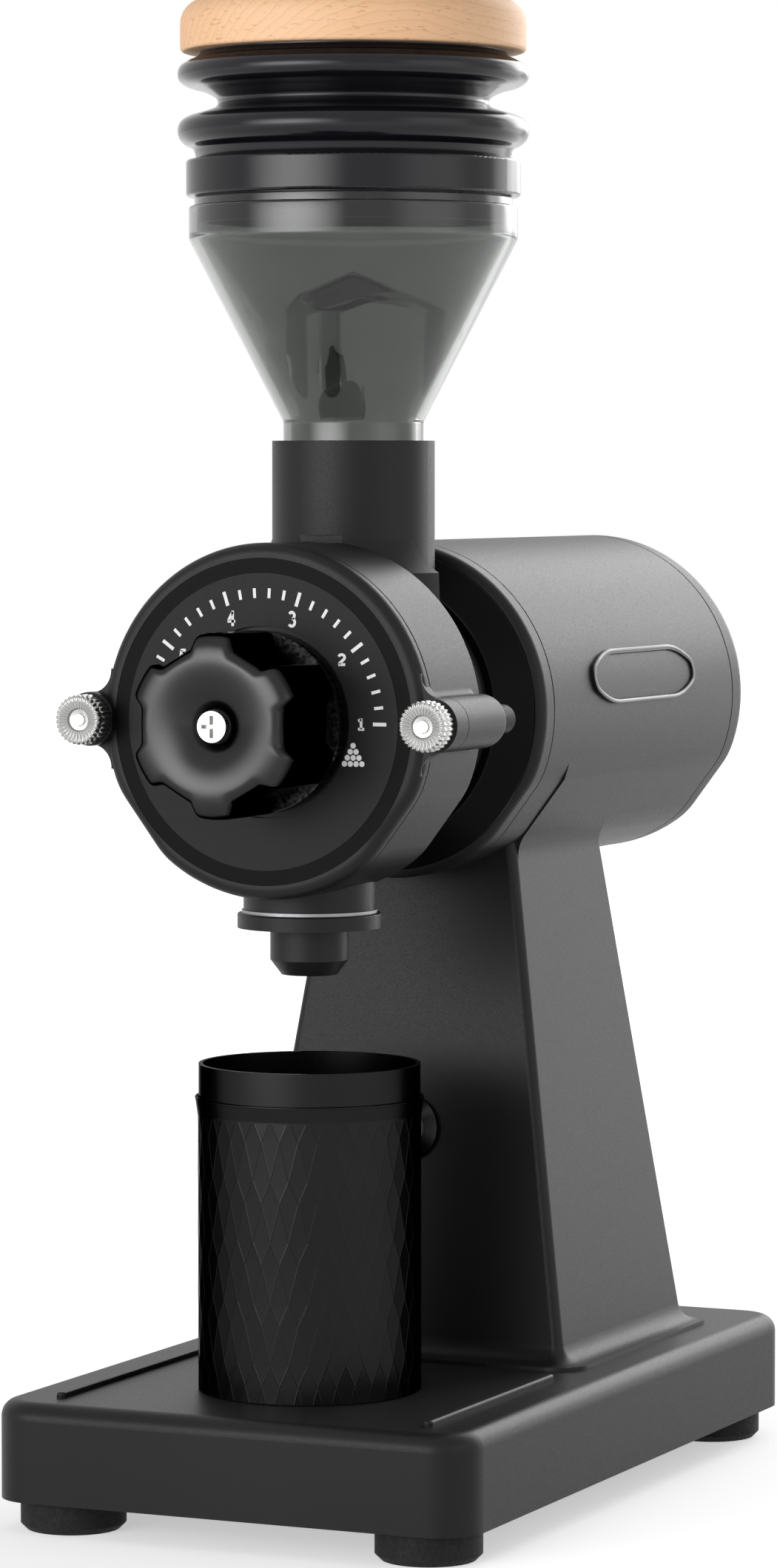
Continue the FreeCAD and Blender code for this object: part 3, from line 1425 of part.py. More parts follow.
def make_bellows():
    y = d.neck_y
    wall = d.bellows_wall
    spigot = d.hopper_radius - d.hopper_wall - 0.5
    collar = turned(
        [
            (spigot - 2.0, d.bellows_collar_low - 7.0),
            (spigot, d.bellows_collar_low - 7.0),
            (spigot, d.bellows_collar_low),
            (d.bellows_collar_radius, d.bellows_collar_low),
            (d.bellows_collar_radius, d.bellows_low),
            (spigot - 2.0, d.bellows_low),
        ],
        y=y,
    )
    rims = [(d.bellows_collar_radius, d.bellows_low), (d.bellows_collar_radius, d.bellows_collar_low)]
    name_part("bellows_collar", round_rims(collar, as_size(0.8), rims))

    crest = d.lobe_radius - d.lobe_round
    one, two, turn = d.lobe_one_z, d.lobe_two_z, d.lobe_round
    waist_z = (one + two) / 2
    half_waist = 0.8
    inner_waist = d.waist_radius - wall
    inner_low = d.waist_low_radius - wall
    inner_top = d.waist_top_radius - wall
    inner_half = 1.8
    bellows = turned(
        [
            (d.waist_low_radius, d.bellows_low),
            (d.waist_low_radius, d.bellows_low + 1.2),
            (crest, one - turn, turn, "right"),
            (d.lobe_radius, one, turn, "right"),
            (crest, one + turn),
            (d.waist_radius, waist_z - half_waist),
            (d.waist_radius, waist_z + half_waist),
            (crest, two - turn, turn, "right"),
            (d.lobe_radius, two, turn, "right"),
            (crest, two + turn),
            (d.waist_top_radius, d.lid_low - 0.9),
            (d.waist_top_radius, d.lid_low),
            (inner_top, d.lid_low),
            (inner_top, d.lid_low - 1.5),
            (crest, two + inner_half),
            (crest, two - inner_half),
            (inner_waist, waist_z + 1.0),
            (inner_waist, waist_z - 1.0),
            (crest, one + inner_half),
            (crest, one - inner_half),
            (inner_low, d.bellows_low + 1.8),
            (inner_low, d.bellows_low),
        ],
        y=y,
    )
    name_part("bellows", bellows)


def make_lid():
    y = d.neck_y
    high = d.lid_low + d.lid_thick
    lid = turned([(0, d.lid_low), (d.lid_radius, d.lid_low), (d.lid_radius, high), (0, high)], y=y)
    lid = round_rims(lid, d.lid_round, [(d.lid_radius, high)])
    lid = round_rims(lid, as_size(1.2), [(d.lid_radius, d.lid_low)])
    ring = 20.0
    angles = [math.radians(angle) for angle in (90, 210, 330)]
    places = [(ring * math.cos(angle), y + ring * math.sin(angle)) for angle in angles]
    holes = [cylinder(LID_SCREW[2] + d.fit, 7.0, px, py, d.lid_low) for px, py in places]
    name_part("lid", cut(lid, *holes))
    insert_low = d.lid_low - 3.6
    insert = cylinder(36.5, 3.6, 0, y, insert_low)
    clear = [cylinder(LID_SCREW[2] + 0.2, 6.0, px, py, insert_low - 1.0) for px, py in places]
    sinks = [cylinder(LID_SCREW[0] + 0.2, LID_SCREW[1], px, py, insert_low) for px, py in places]
    name_part("lid_insert", cut(insert, *clear, *sinks))
    screws = [screw_up(*LID_SCREW, insert_low, d.lid_low + 6.0, px, py) for px, py in places]
    name_part("lid_screws", group(*screws))


def make_cup():
    y = d.spout_y
    pad_top = base_top + d.cup_pad_thick
    wall = 1.1
    body_radius = d.sleeve_radius - 1.3
    floor = pad_top + 1.6
    step = d.sleeve_rim - 2.4
    liner = turned(
        [
            (0, pad_top),
            (body_radius, pad_top),
            (body_radius, step),
            (d.cup_radius, step + 0.8),
            (d.cup_radius, d.cup_rim),
            (d.cup_radius - wall, d.cup_rim),
            (d.cup_radius - wall, step + 1.6),
            (body_radius - wall, step + 0.4),
            (body_radius - wall, floor),
            (0, floor),
        ],
        y=y,
    )
    name_part("cup_liner", liner)
    inner = body_radius + 0.05
    sleeve = turned(
        [
            (inner, base_top + 0.3),
            (d.sleeve_radius, base_top + 0.3),
            (d.sleeve_radius, d.sleeve_band),
            (d.sleeve_radius + 0.15, d.sleeve_band + 0.4),
            (d.sleeve_flare, d.sleeve_rim - 0.4),
            (d.sleeve_flare, d.sleeve_rim),
            (d.cup_radius + 0.35, d.sleeve_rim),
            (d.cup_radius + 0.1, step + 0.5),
            (inner, step - 0.3),
        ],
        y=y,
    )
    name_part("cup_sleeve", sleeve)
    name_part("cup_pad", cylinder(body_radius, d.cup_pad_thick, 0, y, base_top))


def build():
    make_base_plate()
    make_base_cover()
    make_feet()
    make_cord_gland()
    make_stand_housing()
    make_stand_bolts()
    make_control_board()
    make_power_button()
    make_motor_ends()
    make_badge_plate()
    make_motor_inside()
    make_motor_adapter()
    make_grinding_chamber()
    make_spout()
    make_front_cover()
    make_knob()
    make_thumbscrews()
    make_fixed_burr()
    make_rotating_burr()
    make_feed_auger()
    make_hopper()
    make_bellows()
    make_lid()
    make_cup()
    doc.recompute()


def check():
    """Stops before anything is written if an object failed or a sub-part's solids aren't sound."""
    failed = [o.Name for o in doc.Objects if "Invalid" in o.State or "Error" in o.State]
    if failed:
        raise RuntimeError(f"failed objects: {failed}")
    for obj in doc.Objects:
        if obj.TypeId == "Part::Cut" and obj.Base.Shape.Volume - obj.Shape.Volume < SMALLEST_CUT:
            raise RuntimeError(f"cut without effect: {obj.Label}")
    for part in subparts:
        if part.Shape.isNull() or not part.Shape.isValid() or not part.Shape.Solids:
            raise RuntimeError(f"bad shape: {part.Label}")


def export():
    os.makedirs("parts", exist_ok=True)
    for part in subparts:
        part.Shape.exportStep(f"parts/{part.Label}.step")
        size = part.Shape.BoundBox
        volume = part.Shape.Volume / 1000.0
        spans = [(size.XMin, size.XMax), (size.YMin, size.YMax), (size.ZMin, size.ZMax)]
        reach = ", ".join(f"{axis} {low:.1f} {high:.1f}" for axis, (low, high) in zip("xyz", spans))
        print(f"{part.Label}: {len(part.Shape.Solids)} solids, {volume:.2f} cm3, {reach}")


build()
check()
export()
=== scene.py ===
import json
import math

import bmesh
import bpy
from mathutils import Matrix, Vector


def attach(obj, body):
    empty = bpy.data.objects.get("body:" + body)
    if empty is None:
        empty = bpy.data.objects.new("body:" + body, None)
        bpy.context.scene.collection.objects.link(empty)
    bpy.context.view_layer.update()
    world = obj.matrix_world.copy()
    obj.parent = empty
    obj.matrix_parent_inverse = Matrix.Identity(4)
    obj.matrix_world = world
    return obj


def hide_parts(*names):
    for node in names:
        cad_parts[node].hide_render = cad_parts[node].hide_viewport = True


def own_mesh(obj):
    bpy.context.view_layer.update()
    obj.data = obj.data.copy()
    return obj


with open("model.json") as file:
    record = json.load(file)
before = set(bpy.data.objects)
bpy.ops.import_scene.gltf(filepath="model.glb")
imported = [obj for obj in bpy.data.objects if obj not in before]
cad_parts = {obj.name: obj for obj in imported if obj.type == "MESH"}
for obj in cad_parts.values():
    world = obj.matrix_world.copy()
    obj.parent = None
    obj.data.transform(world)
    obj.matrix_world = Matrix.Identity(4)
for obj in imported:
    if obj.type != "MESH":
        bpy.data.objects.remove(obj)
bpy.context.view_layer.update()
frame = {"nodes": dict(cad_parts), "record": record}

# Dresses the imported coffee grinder: materials for each CAD node, finer meshes for the pieces whose small
# relief shows in the photograph, dial marks, floor, light and camera. Lengths are written in millimetres
# and scaled by MM where they enter Blender.

MM = 0.001
AXIS_Z = 210.0
NECK_Y = -43.5
SPOUT_Y = -71.0
nodes = frame["nodes"]


# Node graphs

# Painted shade: a dark tint for grazing reflections, so that metal edges stay dark as if dark surroundings
# were reflected there.
PAINTED_EDGE_SHADE = (0.12, 0.12, 0.12, 1.0)


def add_node(tree, kind, **settings):
    """A new node in a tree, with its settings."""
    made = tree.nodes.new(kind)
    for key, value in settings.items():
        setattr(made, key, value)
    return made


class Graph:
    """A material's node tree, with short calls for adding and joining nodes."""

    def __init__(self, name):
        self.material = bpy.data.materials.new(name)
        self.material.use_nodes = True
        self.tree = self.material.node_tree
        self.shader = self.tree.nodes["Principled BSDF"]
        self.coordinates = self.node("ShaderNodeTexCoord").outputs["Object"]

    def node(self, kind, **settings):
        return add_node(self.tree, kind, **settings)

    def join(self, source, target):
        self.tree.links.new(source, target)

    def set(self, **values):
        for key, value in values.items():
            self.shader.inputs[key.replace("_", " ")].default_value = value

    def stretched(self, x, y, z):
        """Object coordinates scaled by a factor along each axis."""
        mapping = self.node("ShaderNodeMapping")
        mapping.inputs["Scale"].default_value = (x, y, z)
        self.join(self.coordinates, mapping.inputs["Vector"])
        return mapping.outputs["Vector"]

    def noise(self, scale, detail=2.0, vector=None, roughness=0.5):
        made = self.node("ShaderNodeTexNoise")
        made.inputs["Scale"].default_value = scale
        made.inputs["Detail"].default_value = detail
        made.inputs["Roughness"].default_value = roughness
        self.join(vector or self.coordinates, made.inputs["Vector"])
        return made.outputs["Fac"]

    def clouds(self):
        """Broad noise for slow changes of tone."""
        return self.noise(14.0, 3.0)

    def spread(self, value, low, high, start=0.35, end=0.65):
        """Maps a value's usual span to a low and a high result."""
        made = self.node("ShaderNodeMapRange")
        made.inputs["From Min"].default_value = start
        made.inputs["From Max"].default_value = end
        made.inputs["To Min"].default_value = low
        made.inputs["To Max"].default_value = high
        self.join(value, made.inputs["Value"])
        return made.outputs["Result"]

    def colours(self, value, stops):
        """A colour ramp of (position, colour) stops."""
        made = self.node("ShaderNodeValToRGB")
        ramp = made.color_ramp
        while len(ramp.elements) < len(stops):
            ramp.elements.new(0.5)
        for element, (position, colour) in zip(ramp.elements, stops):
            element.position = position
            element.color = (*colour, 1.0)
        self.join(value, made.inputs["Fac"])
        return made.outputs["Color"]

    def colour(self, socket):
        self.join(socket, self.shader.inputs["Base Color"])

    def roughness(self, socket):
        self.join(socket, self.shader.inputs["Roughness"])

    def bump(self, height, strength, depth):
        made = self.node("ShaderNodeBump")
        made.inputs["Strength"].default_value = strength
        made.inputs["Distance"].default_value = depth
        self.join(height, made.inputs["Height"])
        self.join(made.outputs["Normal"], self.shader.inputs["Normal"])


def grey(level, tint=(1.0, 1.0, 1.0)):
    return tuple(level * part for part in tint)


def coated(name, level, rough, grain, depth, shine=0.5, tint=(1.0, 1.0, 1.03)):
    """Paint, plastic or rubber: a nearly even colour with a fine grain in gloss and height."""
    g = Graph(name)
    g.colour(g.colours(g.clouds(), [(0.3, grey(level * 0.85, tint)), (0.7, grey(level * 1.15, tint))]))
    fine = g.noise(grain, 2.0)
    g.roughness(g.spread(fine, rough * 0.88, rough * 1.12))
    g.bump(fine, 0.25, depth)
    g.set(Specular_IOR_Level=shine)
    return g.material


def anodised(name, level, rough, grain, depth):
    """Black anodised aluminium: a dark metal with painted shade on its edges, from a dark tint on its
    grazing reflection.
    """
    g = Graph(name)
    g.colour(g.colours(g.clouds(), [(0.3, grey(level * 0.9)), (0.7, grey(level * 1.1))]))
    fine = g.noise(grain, 2.0)
    g.roughness(g.spread(fine, rough * 0.9, rough * 1.1))
    g.bump(fine, 0.2, depth)
    # The dark specular tint paints shade on the edges.
    g.set(Metallic=1.0, Specular_Tint=PAINTED_EDGE_SHADE)
    return g.material


def knob_black(name):
    """Black lacquer: satin on the faces along the knob's axis and glossier round its sides, with painted
    sheen and shade: its colour is lighter on the faces along the axis and darker round its sides.
    """
    g = Graph(name)
    parts = g.node("ShaderNodeSeparateXYZ")
    g.join(g.node("ShaderNodeTexCoord").outputs["Normal"], parts.inputs["Vector"])
    side_shade_and_gloss = g.spread(parts.outputs["Y"], 0.0, 1.0, -0.75, -0.4)
    clouds_and_side_shade = g.node("ShaderNodeMath", operation="MULTIPLY_ADD")
    clouds_and_side_shade.inputs[1].default_value = 0.12
    g.join(g.clouds(), clouds_and_side_shade.inputs[0])
    g.join(side_shade_and_gloss, clouds_and_side_shade.inputs[2])
    # Painted sheen and shade: the colour is lighter on faces along the axis and darker round the sides, set
    # by each surface's facing.
    g.colour(g.colours(clouds_and_side_shade.outputs["Value"], [(0.0, grey(0.036)), (0.2, grey(0.03)), (1.0, grey(0.014))]))
    g.roughness(g.spread(side_shade_and_gloss, 0.24, 0.12, 0.0, 1.0))
    g.bump(g.noise(300.0), 0.02, 0.0000005)
    # The dark specular tint paints shade on the edges as well.
    g.set(Metallic=1.0, Specular_Tint=PAINTED_EDGE_SHADE)
    return g.material


def metal(name, colour, rough, contrast=0.06, relief=0.08):
    """Metal with fine machining lines that run along the motor's axis."""
    g = Graph(name)
    lines = g.noise(900.0, 3.0, g.stretched(1.0, 0.04, 1.0))
    dark = tuple(c * (1.0 - contrast) for c in colour)
    g.colour(g.colours(lines, [(0.3, dark), (0.7, colour)]))
    g.roughness(g.spread(lines, rough - 0.06, rough + 0.08))
    g.bump(lines, relief, 0.00004)
    g.set(Metallic=1.0)
    return g.material


def smoky_clear(name, level, index):
    """Smoke-tinted clear plastic."""
    g = Graph(name)
    haze = g.noise(60.0, 3.0)
    tint = (0.96, 1.0, 0.96)
    g.colour(g.colours(haze, [(0.3, grey(level * 0.93, tint)), (0.7, grey(level * 1.07, tint))]))
    g.roughness(g.spread(haze, 0.0, 0.01))
    g.set(Transmission_Weight=1.0, IOR=index)
    return g.material


def beech():
    """Pale beech: curved growth lines, short dark ray flecks and a soft change of tone."""
    g = Graph("beech")
    grain = g.stretched(1.0, 0.2, 1.0)
    warp = g.noise(18.0, 3.0, grain)
    rings = g.node("ShaderNodeTexWave", wave_type="RINGS", rings_direction="Y", wave_profile="SAW")
    rings.inputs["Scale"].default_value = 130.0
    rings.inputs["Distortion"].default_value = 7.0
    rings.inputs["Detail"].default_value = 3.0
    rings.inputs["Detail Scale"].default_value = 0.5
    shifted = g.node("ShaderNodeMapping")
    shifted.inputs["Location"].default_value = (-0.03, 0.0, -0.35)
    g.join(grain, shifted.inputs["Vector"])
    g.join(shifted.outputs["Vector"], rings.inputs["Vector"])
    flecks = g.noise(900.0, 2.0, g.stretched(0.35, 0.35, 1.6), 0.6)
    tone = g.colours(warp, [(0.3, (0.90, 0.54, 0.30)), (0.7, (0.96, 0.64, 0.41))])
    lines = g.colours(
        rings.outputs["Fac"],
        [(0.0, (1.0, 1.0, 1.0)), (0.75, (0.97, 0.94, 0.9)), (1.0, (0.84, 0.74, 0.64))],
    )
    ticks = g.colours(flecks, [(0.30, (0.70, 0.52, 0.38)), (0.40, (1.0, 1.0, 1.0))])
    first = g.node("ShaderNodeMix", data_type="RGBA", blend_type="MULTIPLY")
    second = g.node("ShaderNodeMix", data_type="RGBA", blend_type="MULTIPLY")
    for mix in (first, second):
        mix.inputs["Factor"].default_value = 0.6
    g.join(tone, first.inputs["A"])
    g.join(lines, first.inputs["B"])
    g.join(first.outputs["Result"], second.inputs["A"])
    g.join(ticks, second.inputs["B"])
    g.colour(second.outputs["Result"])
    g.roughness(g.spread(flecks, 0.5, 0.62))
    g.bump(flecks, 0.1, 0.00006)
    return g.material


def laminated(name, colour, rough):
    """Stacked sheet steel or wound wire: fine even lines across the motor's axis."""
    g = Graph(name)
    wave = g.node("ShaderNodeTexWave", wave_type="BANDS", bands_direction="Y")
    wave.inputs["Scale"].default_value = 500.0
    wave.inputs["Distortion"].default_value = 0.4
    g.join(g.coordinates, wave.inputs["Vector"])
    dark = tuple(c * 0.55 for c in colour)
    g.colour(g.colours(wave.outputs["Fac"], [(0.1, dark), (0.6, colour)]))
    g.bump(wave.outputs["Fac"], 0.4, 0.0001)
    g.roughness(g.spread(g.noise(300.0), rough - 0.08, rough + 0.08))
    g.set(Metallic=0.9)
    return g.material


def circuit_board():
    """Green lacquer over copper tracks."""
    g = Graph("circuit_board")
    tracks = g.node("ShaderNodeTexBrick")
    tracks.inputs["Scale"].default_value = 180.0
    tracks.inputs["Mortar Size"].default_value = 0.06
    tracks.inputs["Color1"].default_value = (0.02, 0.16, 0.06, 1)
    tracks.inputs["Color2"].default_value = (0.02, 0.13, 0.05, 1)
    tracks.inputs["Mortar"].default_value = (0.10, 0.30, 0.10, 1)
    g.join(g.coordinates, tracks.inputs["Vector"])
    g.colour(tracks.outputs["Color"])
    g.bump(tracks.outputs["Fac"], 0.3, 0.00005)
    g.roughness(g.spread(g.noise(200.0), 0.3, 0.45))
    return g.material


def make_materials():
    """The materials by name: one for each slot of the record, and the finishes that differ from it."""
    violet_painted_sheen = (1.0, 0.96, 1.4)
    plain = (1.0, 1.0, 1.0)
    return {
        "body_paint": coated("body_paint", 0.009, 0.42, 2600.0, 0.00004, 0.19),
        # dark_paint: darker and duller than the body paint, both as the black of the parts in the deep gap
        # between the chamber and the motor and as painted shade in that gap.
        "dark_paint": coated("dark_paint", 0.003, 0.4, 2200.0, 0.00003, 0.05),
        "dial_face": coated("dial_face", 0.010, 0.45, 2600.0, 0.00003, 0.13),
        "rubber": coated("rubber", 0.008, 0.7, 1200.0, 0.00008, 0.25),
        # bellows_rubber: its violet tint is a painted reflection, the violet sheen of the lamps put into the
        # rubber's colour.
        "bellows_rubber": coated("bellows_rubber", 0.006, 0.16, 500.0, 0.000001, 0.3, violet_painted_sheen),
        "steel": metal("steel", (0.62, 0.62, 0.64), 0.3),
        "satin_steel": metal("satin_steel", (0.3, 0.3, 0.31), 0.48),
        "badge_rim": metal("badge_rim", (0.2, 0.2, 0.205), 0.45),
        "dark_steel": laminated("dark_steel", (0.22, 0.22, 0.23), 0.45),
        "nickel": metal("nickel", (0.45, 0.45, 0.44), 0.3, 0.03, 0.02),
        "dark_collar": metal("dark_collar", (0.07, 0.07, 0.072), 0.22, 0.02, 0.01),
        "aluminium": metal("aluminium", (0.78, 0.78, 0.80), 0.3),
        "copper": laminated("copper", (0.72, 0.30, 0.14), 0.35),
        "brass": metal("brass", (0.76, 0.58, 0.28), 0.25),
        "black_plastic": coated("black_plastic", 0.007, 0.34, 1800.0, 0.00003, 0.1),
        "gloss_black": knob_black("gloss_black"),
        "smoky_clear": smoky_clear("smoky_clear", 0.245, 1.46),
        "baffle_clear": smoky_clear("baffle_clear", 0.45, 1.2),
        "board": circuit_board(),
        "cup_black": anodised("cup_black", 0.0165, 0.23, 2400.0, 0.00002),
        "wood": beech(),
        "white_marks": coated("white_marks", 0.85, 0.5, 1500.0, 0.00001, 0.3, plain),
    }


MATERIALS = make_materials()


# Nodes whose finish in the photograph differs a little from the rest of their slot
FINISHES = {
    "spout_ring": "satin_steel",
    "bellows_collar": "bellows_rubber",
    "hopper_baffle": "baffle_clear",
    "knob_collar": "dark_collar",
    "rear_cap_screws": "dark_collar",
}


def dress_nodes():
    """Each CAD node gets its slot's material, or a finish of its own."""
    for entry in frame["record"]["subparts"]:
        obj = nodes[entry["node"]]
        obj.data.materials.clear()
        obj.data.materials.append(MATERIALS[FINISHES.get(entry["node"], entry["material_slot"])])


# Mesh helpers

def soften(points, steps=5):
    """A closed outline with its corners rounded: a point is (x, y) or (x, y, radius)."""
    result = []
    count = len(points)
    for i, point in enumerate(points):
        here = Vector(point[:2])
        if len(point) == 2:
            result.append(here)
            continue
        before, after = Vector(points[i - 1][:2]), Vector(points[(i + 1) % count][:2])
        to_before, to_after = (before - here).normalized(), (after - here).normalized()
        half = to_before.angle(to_after) / 2
        reach = point[2] / math.tan(half)
        start, end = here + to_before * reach, here + to_after * reach
        centre = here + (to_before + to_after).normalized() * (point[2] / math.sin(half))
        first = start - centre
        turn = first.angle_signed(end - centre)
        for step in range(steps + 1):
            angle = -turn * step / steps
            c, s = math.cos(angle), math.sin(angle)
            result.append(centre + Vector((first.x * c - first.y * s, first.x * s + first.y * c)))
    return [(p.x, p.y) for p in result]


def to_mesh(name, bm):
    """The mesh of a finished bmesh, with its faces turned outward."""
    bmesh.ops.recalc_face_normals(bm, faces=bm.faces)
    mesh = bpy.data.meshes.new(name)
    bm.to_mesh(mesh)
    bm.free()
    return mesh


def lathe(name, outline, x=0.0, y=0.0, z=0.0, along="Z", segments=160, shift=None):
    """A turned mesh of a closed (radius, height) outline.

    shift(radius, height, angle) may move its points.
    """
    bm = bmesh.new()
    rings = []
    for radius, height in outline:
        if radius < 1e-6:
            rings.append([bm.verts.new(turned_point(0.0, height, 0.0, x, y, z, along))])
            continue
        ring = []
        for step in range(segments):
            angle = 2.0 * math.pi * step / segments
            r, h = shift(radius, height, angle) if shift else (radius, height)
            ring.append(bm.verts.new(turned_point(r, h, angle, x, y, z, along)))
        rings.append(ring)
    for i, ring in enumerate(rings):
        bridge(bm, ring, rings[(i + 1) % len(rings)], segments)
    return to_mesh(name, bm)


def turned_point(radius, height, angle, x, y, z, along):
    """A point of a turned shape round an axis through (x, y, z), along Z or Y."""
    across, up = radius * math.cos(angle), radius * math.sin(angle)
    if along == "Z":
        return Vector((x + across, y + up, z + height)) * MM
    return Vector((x + across, y + height, z + up)) * MM


def bridge(bm, ring, following, segments):
    """Faces between two rings, either of which may be a single point on the axis."""
    if len(ring) == 1 and len(following) == 1:
        return
    for step in range(segments):
        ahead = (step + 1) % segments
        if len(ring) == 1:
            bm.faces.new((ring[0], following[ahead], following[step]))
        elif len(following) == 1:
            bm.faces.new((ring[step], ring[ahead], following[0]))
        else:
            bm.faces.new((ring[step], ring[ahead], following[ahead], following[step]))


def piece(name, mesh, body, slot, replaced=(), sharp=40.0, look=None):
    """A finished mesh as a piece that rides on a CAD body, in its slot's material or another look."""
    obj = bpy.data.objects.new(name, mesh)
    bpy.context.scene.collection.objects.link(obj)
    mesh.materials.append(MATERIALS[look or slot])
    mesh.shade_smooth()
    mesh.set_sharp_from_angle(angle=math.radians(sharp))
    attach(obj, body)
    if replaced:
        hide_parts(*replaced)
    return obj


def smooth_curve(points, steps=6):
    """Points on a Catmull-Rom curve through the given ones."""
    result = []
    ends = [points[0], *points, points[-1]]
    for a, b, c, e in zip(ends, ends[1:], ends[2:], ends[3:]):
        for step in range(steps):
            t = step / steps
            result.append(
                tuple(
                    0.5 * (2 * q + (r - p) * t + (2 * p - 5 * q + 4 * r - s) * t * t
                           + (3 * q - p - 3 * r + s) * t ** 3)
                    for p, q, r, s in zip(a, b, c, e)
                )
            )
    result.append(tuple(points[-1]))
    return result


# Pieces

def make_bellows():
    """The rubber bellows, with the drawn-in waists and round lobes of the photograph."""
    low, high, travel = 355.6, 383.9, 16.0
    wall, lobe_wall, lobe = 1.4, 2.1, 44.0
    outside = smooth_curve(
        [
            (41.2, low), (41.6, 357.0), (42.2, 358.6), (44.2, 359.6), (45.7, 361.2), (46.2, 363.3),
            (45.6, 365.4), (43.6, 366.9), (40.0, 368.0), (36.6, 369.2), (35.6, 370.7), (36.6, 372.3),
            (40.0, 373.9), (43.6, 374.9), (45.6, 376.2), (46.2, 378.1), (45.6, 380.0), (43.8, 381.3),
            (41.6, 382.3), (40.5, 383.2), (40.4, high),
        ]
    )
    inside = [(r - (lobe_wall if r > lobe else wall), h) for r, h in reversed(outside)]
    mesh = lathe("bellows_skin", outside + inside, y=NECK_Y)
    obj = piece("bellows_skin", mesh, "bellows", "bellows_rubber", ["bellows"], 50.0)
    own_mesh(obj)


def divided(outline, longest):
    """A closed outline whose long runs are cut into short ones, so that shading stays flat along them."""
    result = []
    for here, after in zip(outline, outline[1:] + outline[:1]):
        parts = max(1, math.ceil(math.dist(here, after) / longest))
        for part in range(parts):
            result.append(tuple(a + (b - a) * part / parts for a, b in zip(here, after)))
    return result


def make_hopper():
    """The smoky hopper, turned finely so that its edges read as clear plastic."""
    outline = soften(
        [
            (16.5, 262.2, 0.4), (18.5, 262.2, 0.5), (18.5, 287.0, 2.0), (43.3, 334.9, 2.5),
            (43.3, 343.6, 0.8), (41.9, 343.6), (41.9, 345.8, 0.4), (41.3, 345.8), (41.3, 336.1, 2.0),
            (16.5, 288.2, 2.0),
        ]
    )
    longest = 2.5
    mesh = lathe("hopper_shell", divided(outline, longest), y=NECK_Y)
    piece("hopper_shell", mesh, "hopper", "smoky_clear", ["hopper"])


def make_lid():
    """The wooden lid, with a full round on its top edge."""
    low, high, radius = 383.9, 397.6, 45.5
    outline = soften([(0.0, low), (radius, low, 1.0), (radius, high, 6.4), (0.0, high)], 10)
    mesh = lathe("lid_wood", outline, y=NECK_Y)
    piece("lid_wood", mesh, "lid", "wood", ["lid"])


def kite(column, row, level, share):
    """The corners (turn, fall) of one scale of the cup's relief, in columns and rows.

    Scales of the two families alternate: level 0 hangs from whole columns, level 1 from half columns.
    """
    top = (column + 0.5 * level, row + share * level)
    low = (top[0], top[1] + 1.0)
    left = (top[0] - 0.5, top[1] + (share if level == 0 else 1.0 - share))
    right = (top[0] + 0.5, left[1])
    return [top, right, low, left]


def scale_faces(corners, radius, bend):
    """One scale as a flat face in two halves, set a hair below the thin rim that runs round it.

    Its points are (turn, fall, radius). bend is half the turn of a column.
    """
    rim, recess = 0.1, 0.03
    top, right, tip, left = corners
    middle, widest = top[0], right[1]
    flat = radius * math.cos(bend)
    inner_bend = math.atan(math.tan(bend) * (1.0 - rim))
    inner_turn = inner_bend / (2.0 * bend)
    side_radius = flat / math.cos(inner_bend) - recess
    end_radius = radius + (flat - radius) * rim - recess
    outer = [(turn, fall, radius) for turn, fall in corners]
    inner = [
        (middle, top[1] + (widest - top[1]) * rim, end_radius),
        (middle + inner_turn, widest, side_radius),
        (middle, tip[1] + (widest - tip[1]) * rim, end_radius),
        (middle - inner_turn, widest, side_radius),
    ]
    faces = [[inner[0], inner[1], inner[3]], [inner[3], inner[1], inner[2]]]
    for i in range(4):
        following = (i + 1) % 4
        faces.append([outer[i], outer[following], inner[following], inner[i]])
    return faces


def clip_fall(corners, limit, keep_below):
    """Cuts a face of a scale at one height, and keeps the part below it or the part above."""
    kept = []
    for here, after in zip(corners, corners[1:] + corners[:1]):
        inside = here[1] >= limit if keep_below else here[1] <= limit
        inside_after = after[1] >= limit if keep_below else after[1] <= limit
        if inside:
            kept.append(here)
        if inside != inside_after:
            share = (limit - here[1]) / (after[1] - here[1])
            across = [a + (b - a) * share for a, b in zip(here, after)]
            kept.append((across[0], limit, across[2]))
    return kept


def make_cup_sleeve():
    """The cup's sleeve: long flat scales that meet at blunt edges, below a plain flared band."""
    columns, pitch, share, start = 37, 15.8, 0.63, 0.3
    low, high, band = 34.6, 106.8, 111.3
    radius, bore, foot, lip = 29.2, 27.95, 29.35, 29.95
    first_fall, last_fall = 0.0, (high - low) / pitch
    bm = bmesh.new()

    def point(turn, fall, out):
        angle = 2.0 * math.pi * turn / columns
        place = Vector((out * math.sin(angle), SPOUT_Y - out * math.cos(angle), high - fall * pitch))
        return bm.verts.new(place * MM)

    for column in range(columns):
        for row in range(-2, math.ceil(last_fall) + 1):
            for level in (0, 1):
                scale = kite(column, row + start, level, share)
                for face in scale_faces(scale, radius, math.pi / columns):
                    corners = clip_fall(face, first_fall, True)
                    corners = clip_fall(corners, last_fall, False) if len(corners) > 2 else []
                    if len(corners) > 2:
                        bm.faces.new([point(*corner) for corner in corners])
    backing = radius - 0.4
    outline = [(bore, low), (backing, low), (backing, high), (foot, high), (foot, high + 0.4)]
    outline += soften(
        [
            (lip, band - 0.4, 0.3), (lip, band, 0.15), (foot, band), (29.1, band - 1.9), (bore, band - 2.7),
        ]
    )
    shell = lathe("cup_sleeve_relief", outline, y=SPOUT_Y, segments=columns * 4)
    bmesh.ops.remove_doubles(bm, verts=bm.verts, dist=0.00001)
    bmesh.ops.recalc_face_normals(bm, faces=bm.faces)
    bm.from_mesh(shell)
    bm.to_mesh(shell)
    bm.free()
    piece("cup_sleeve_relief", shell, "cup", "black_plastic", ["cup_sleeve"], 3.0, "cup_black")


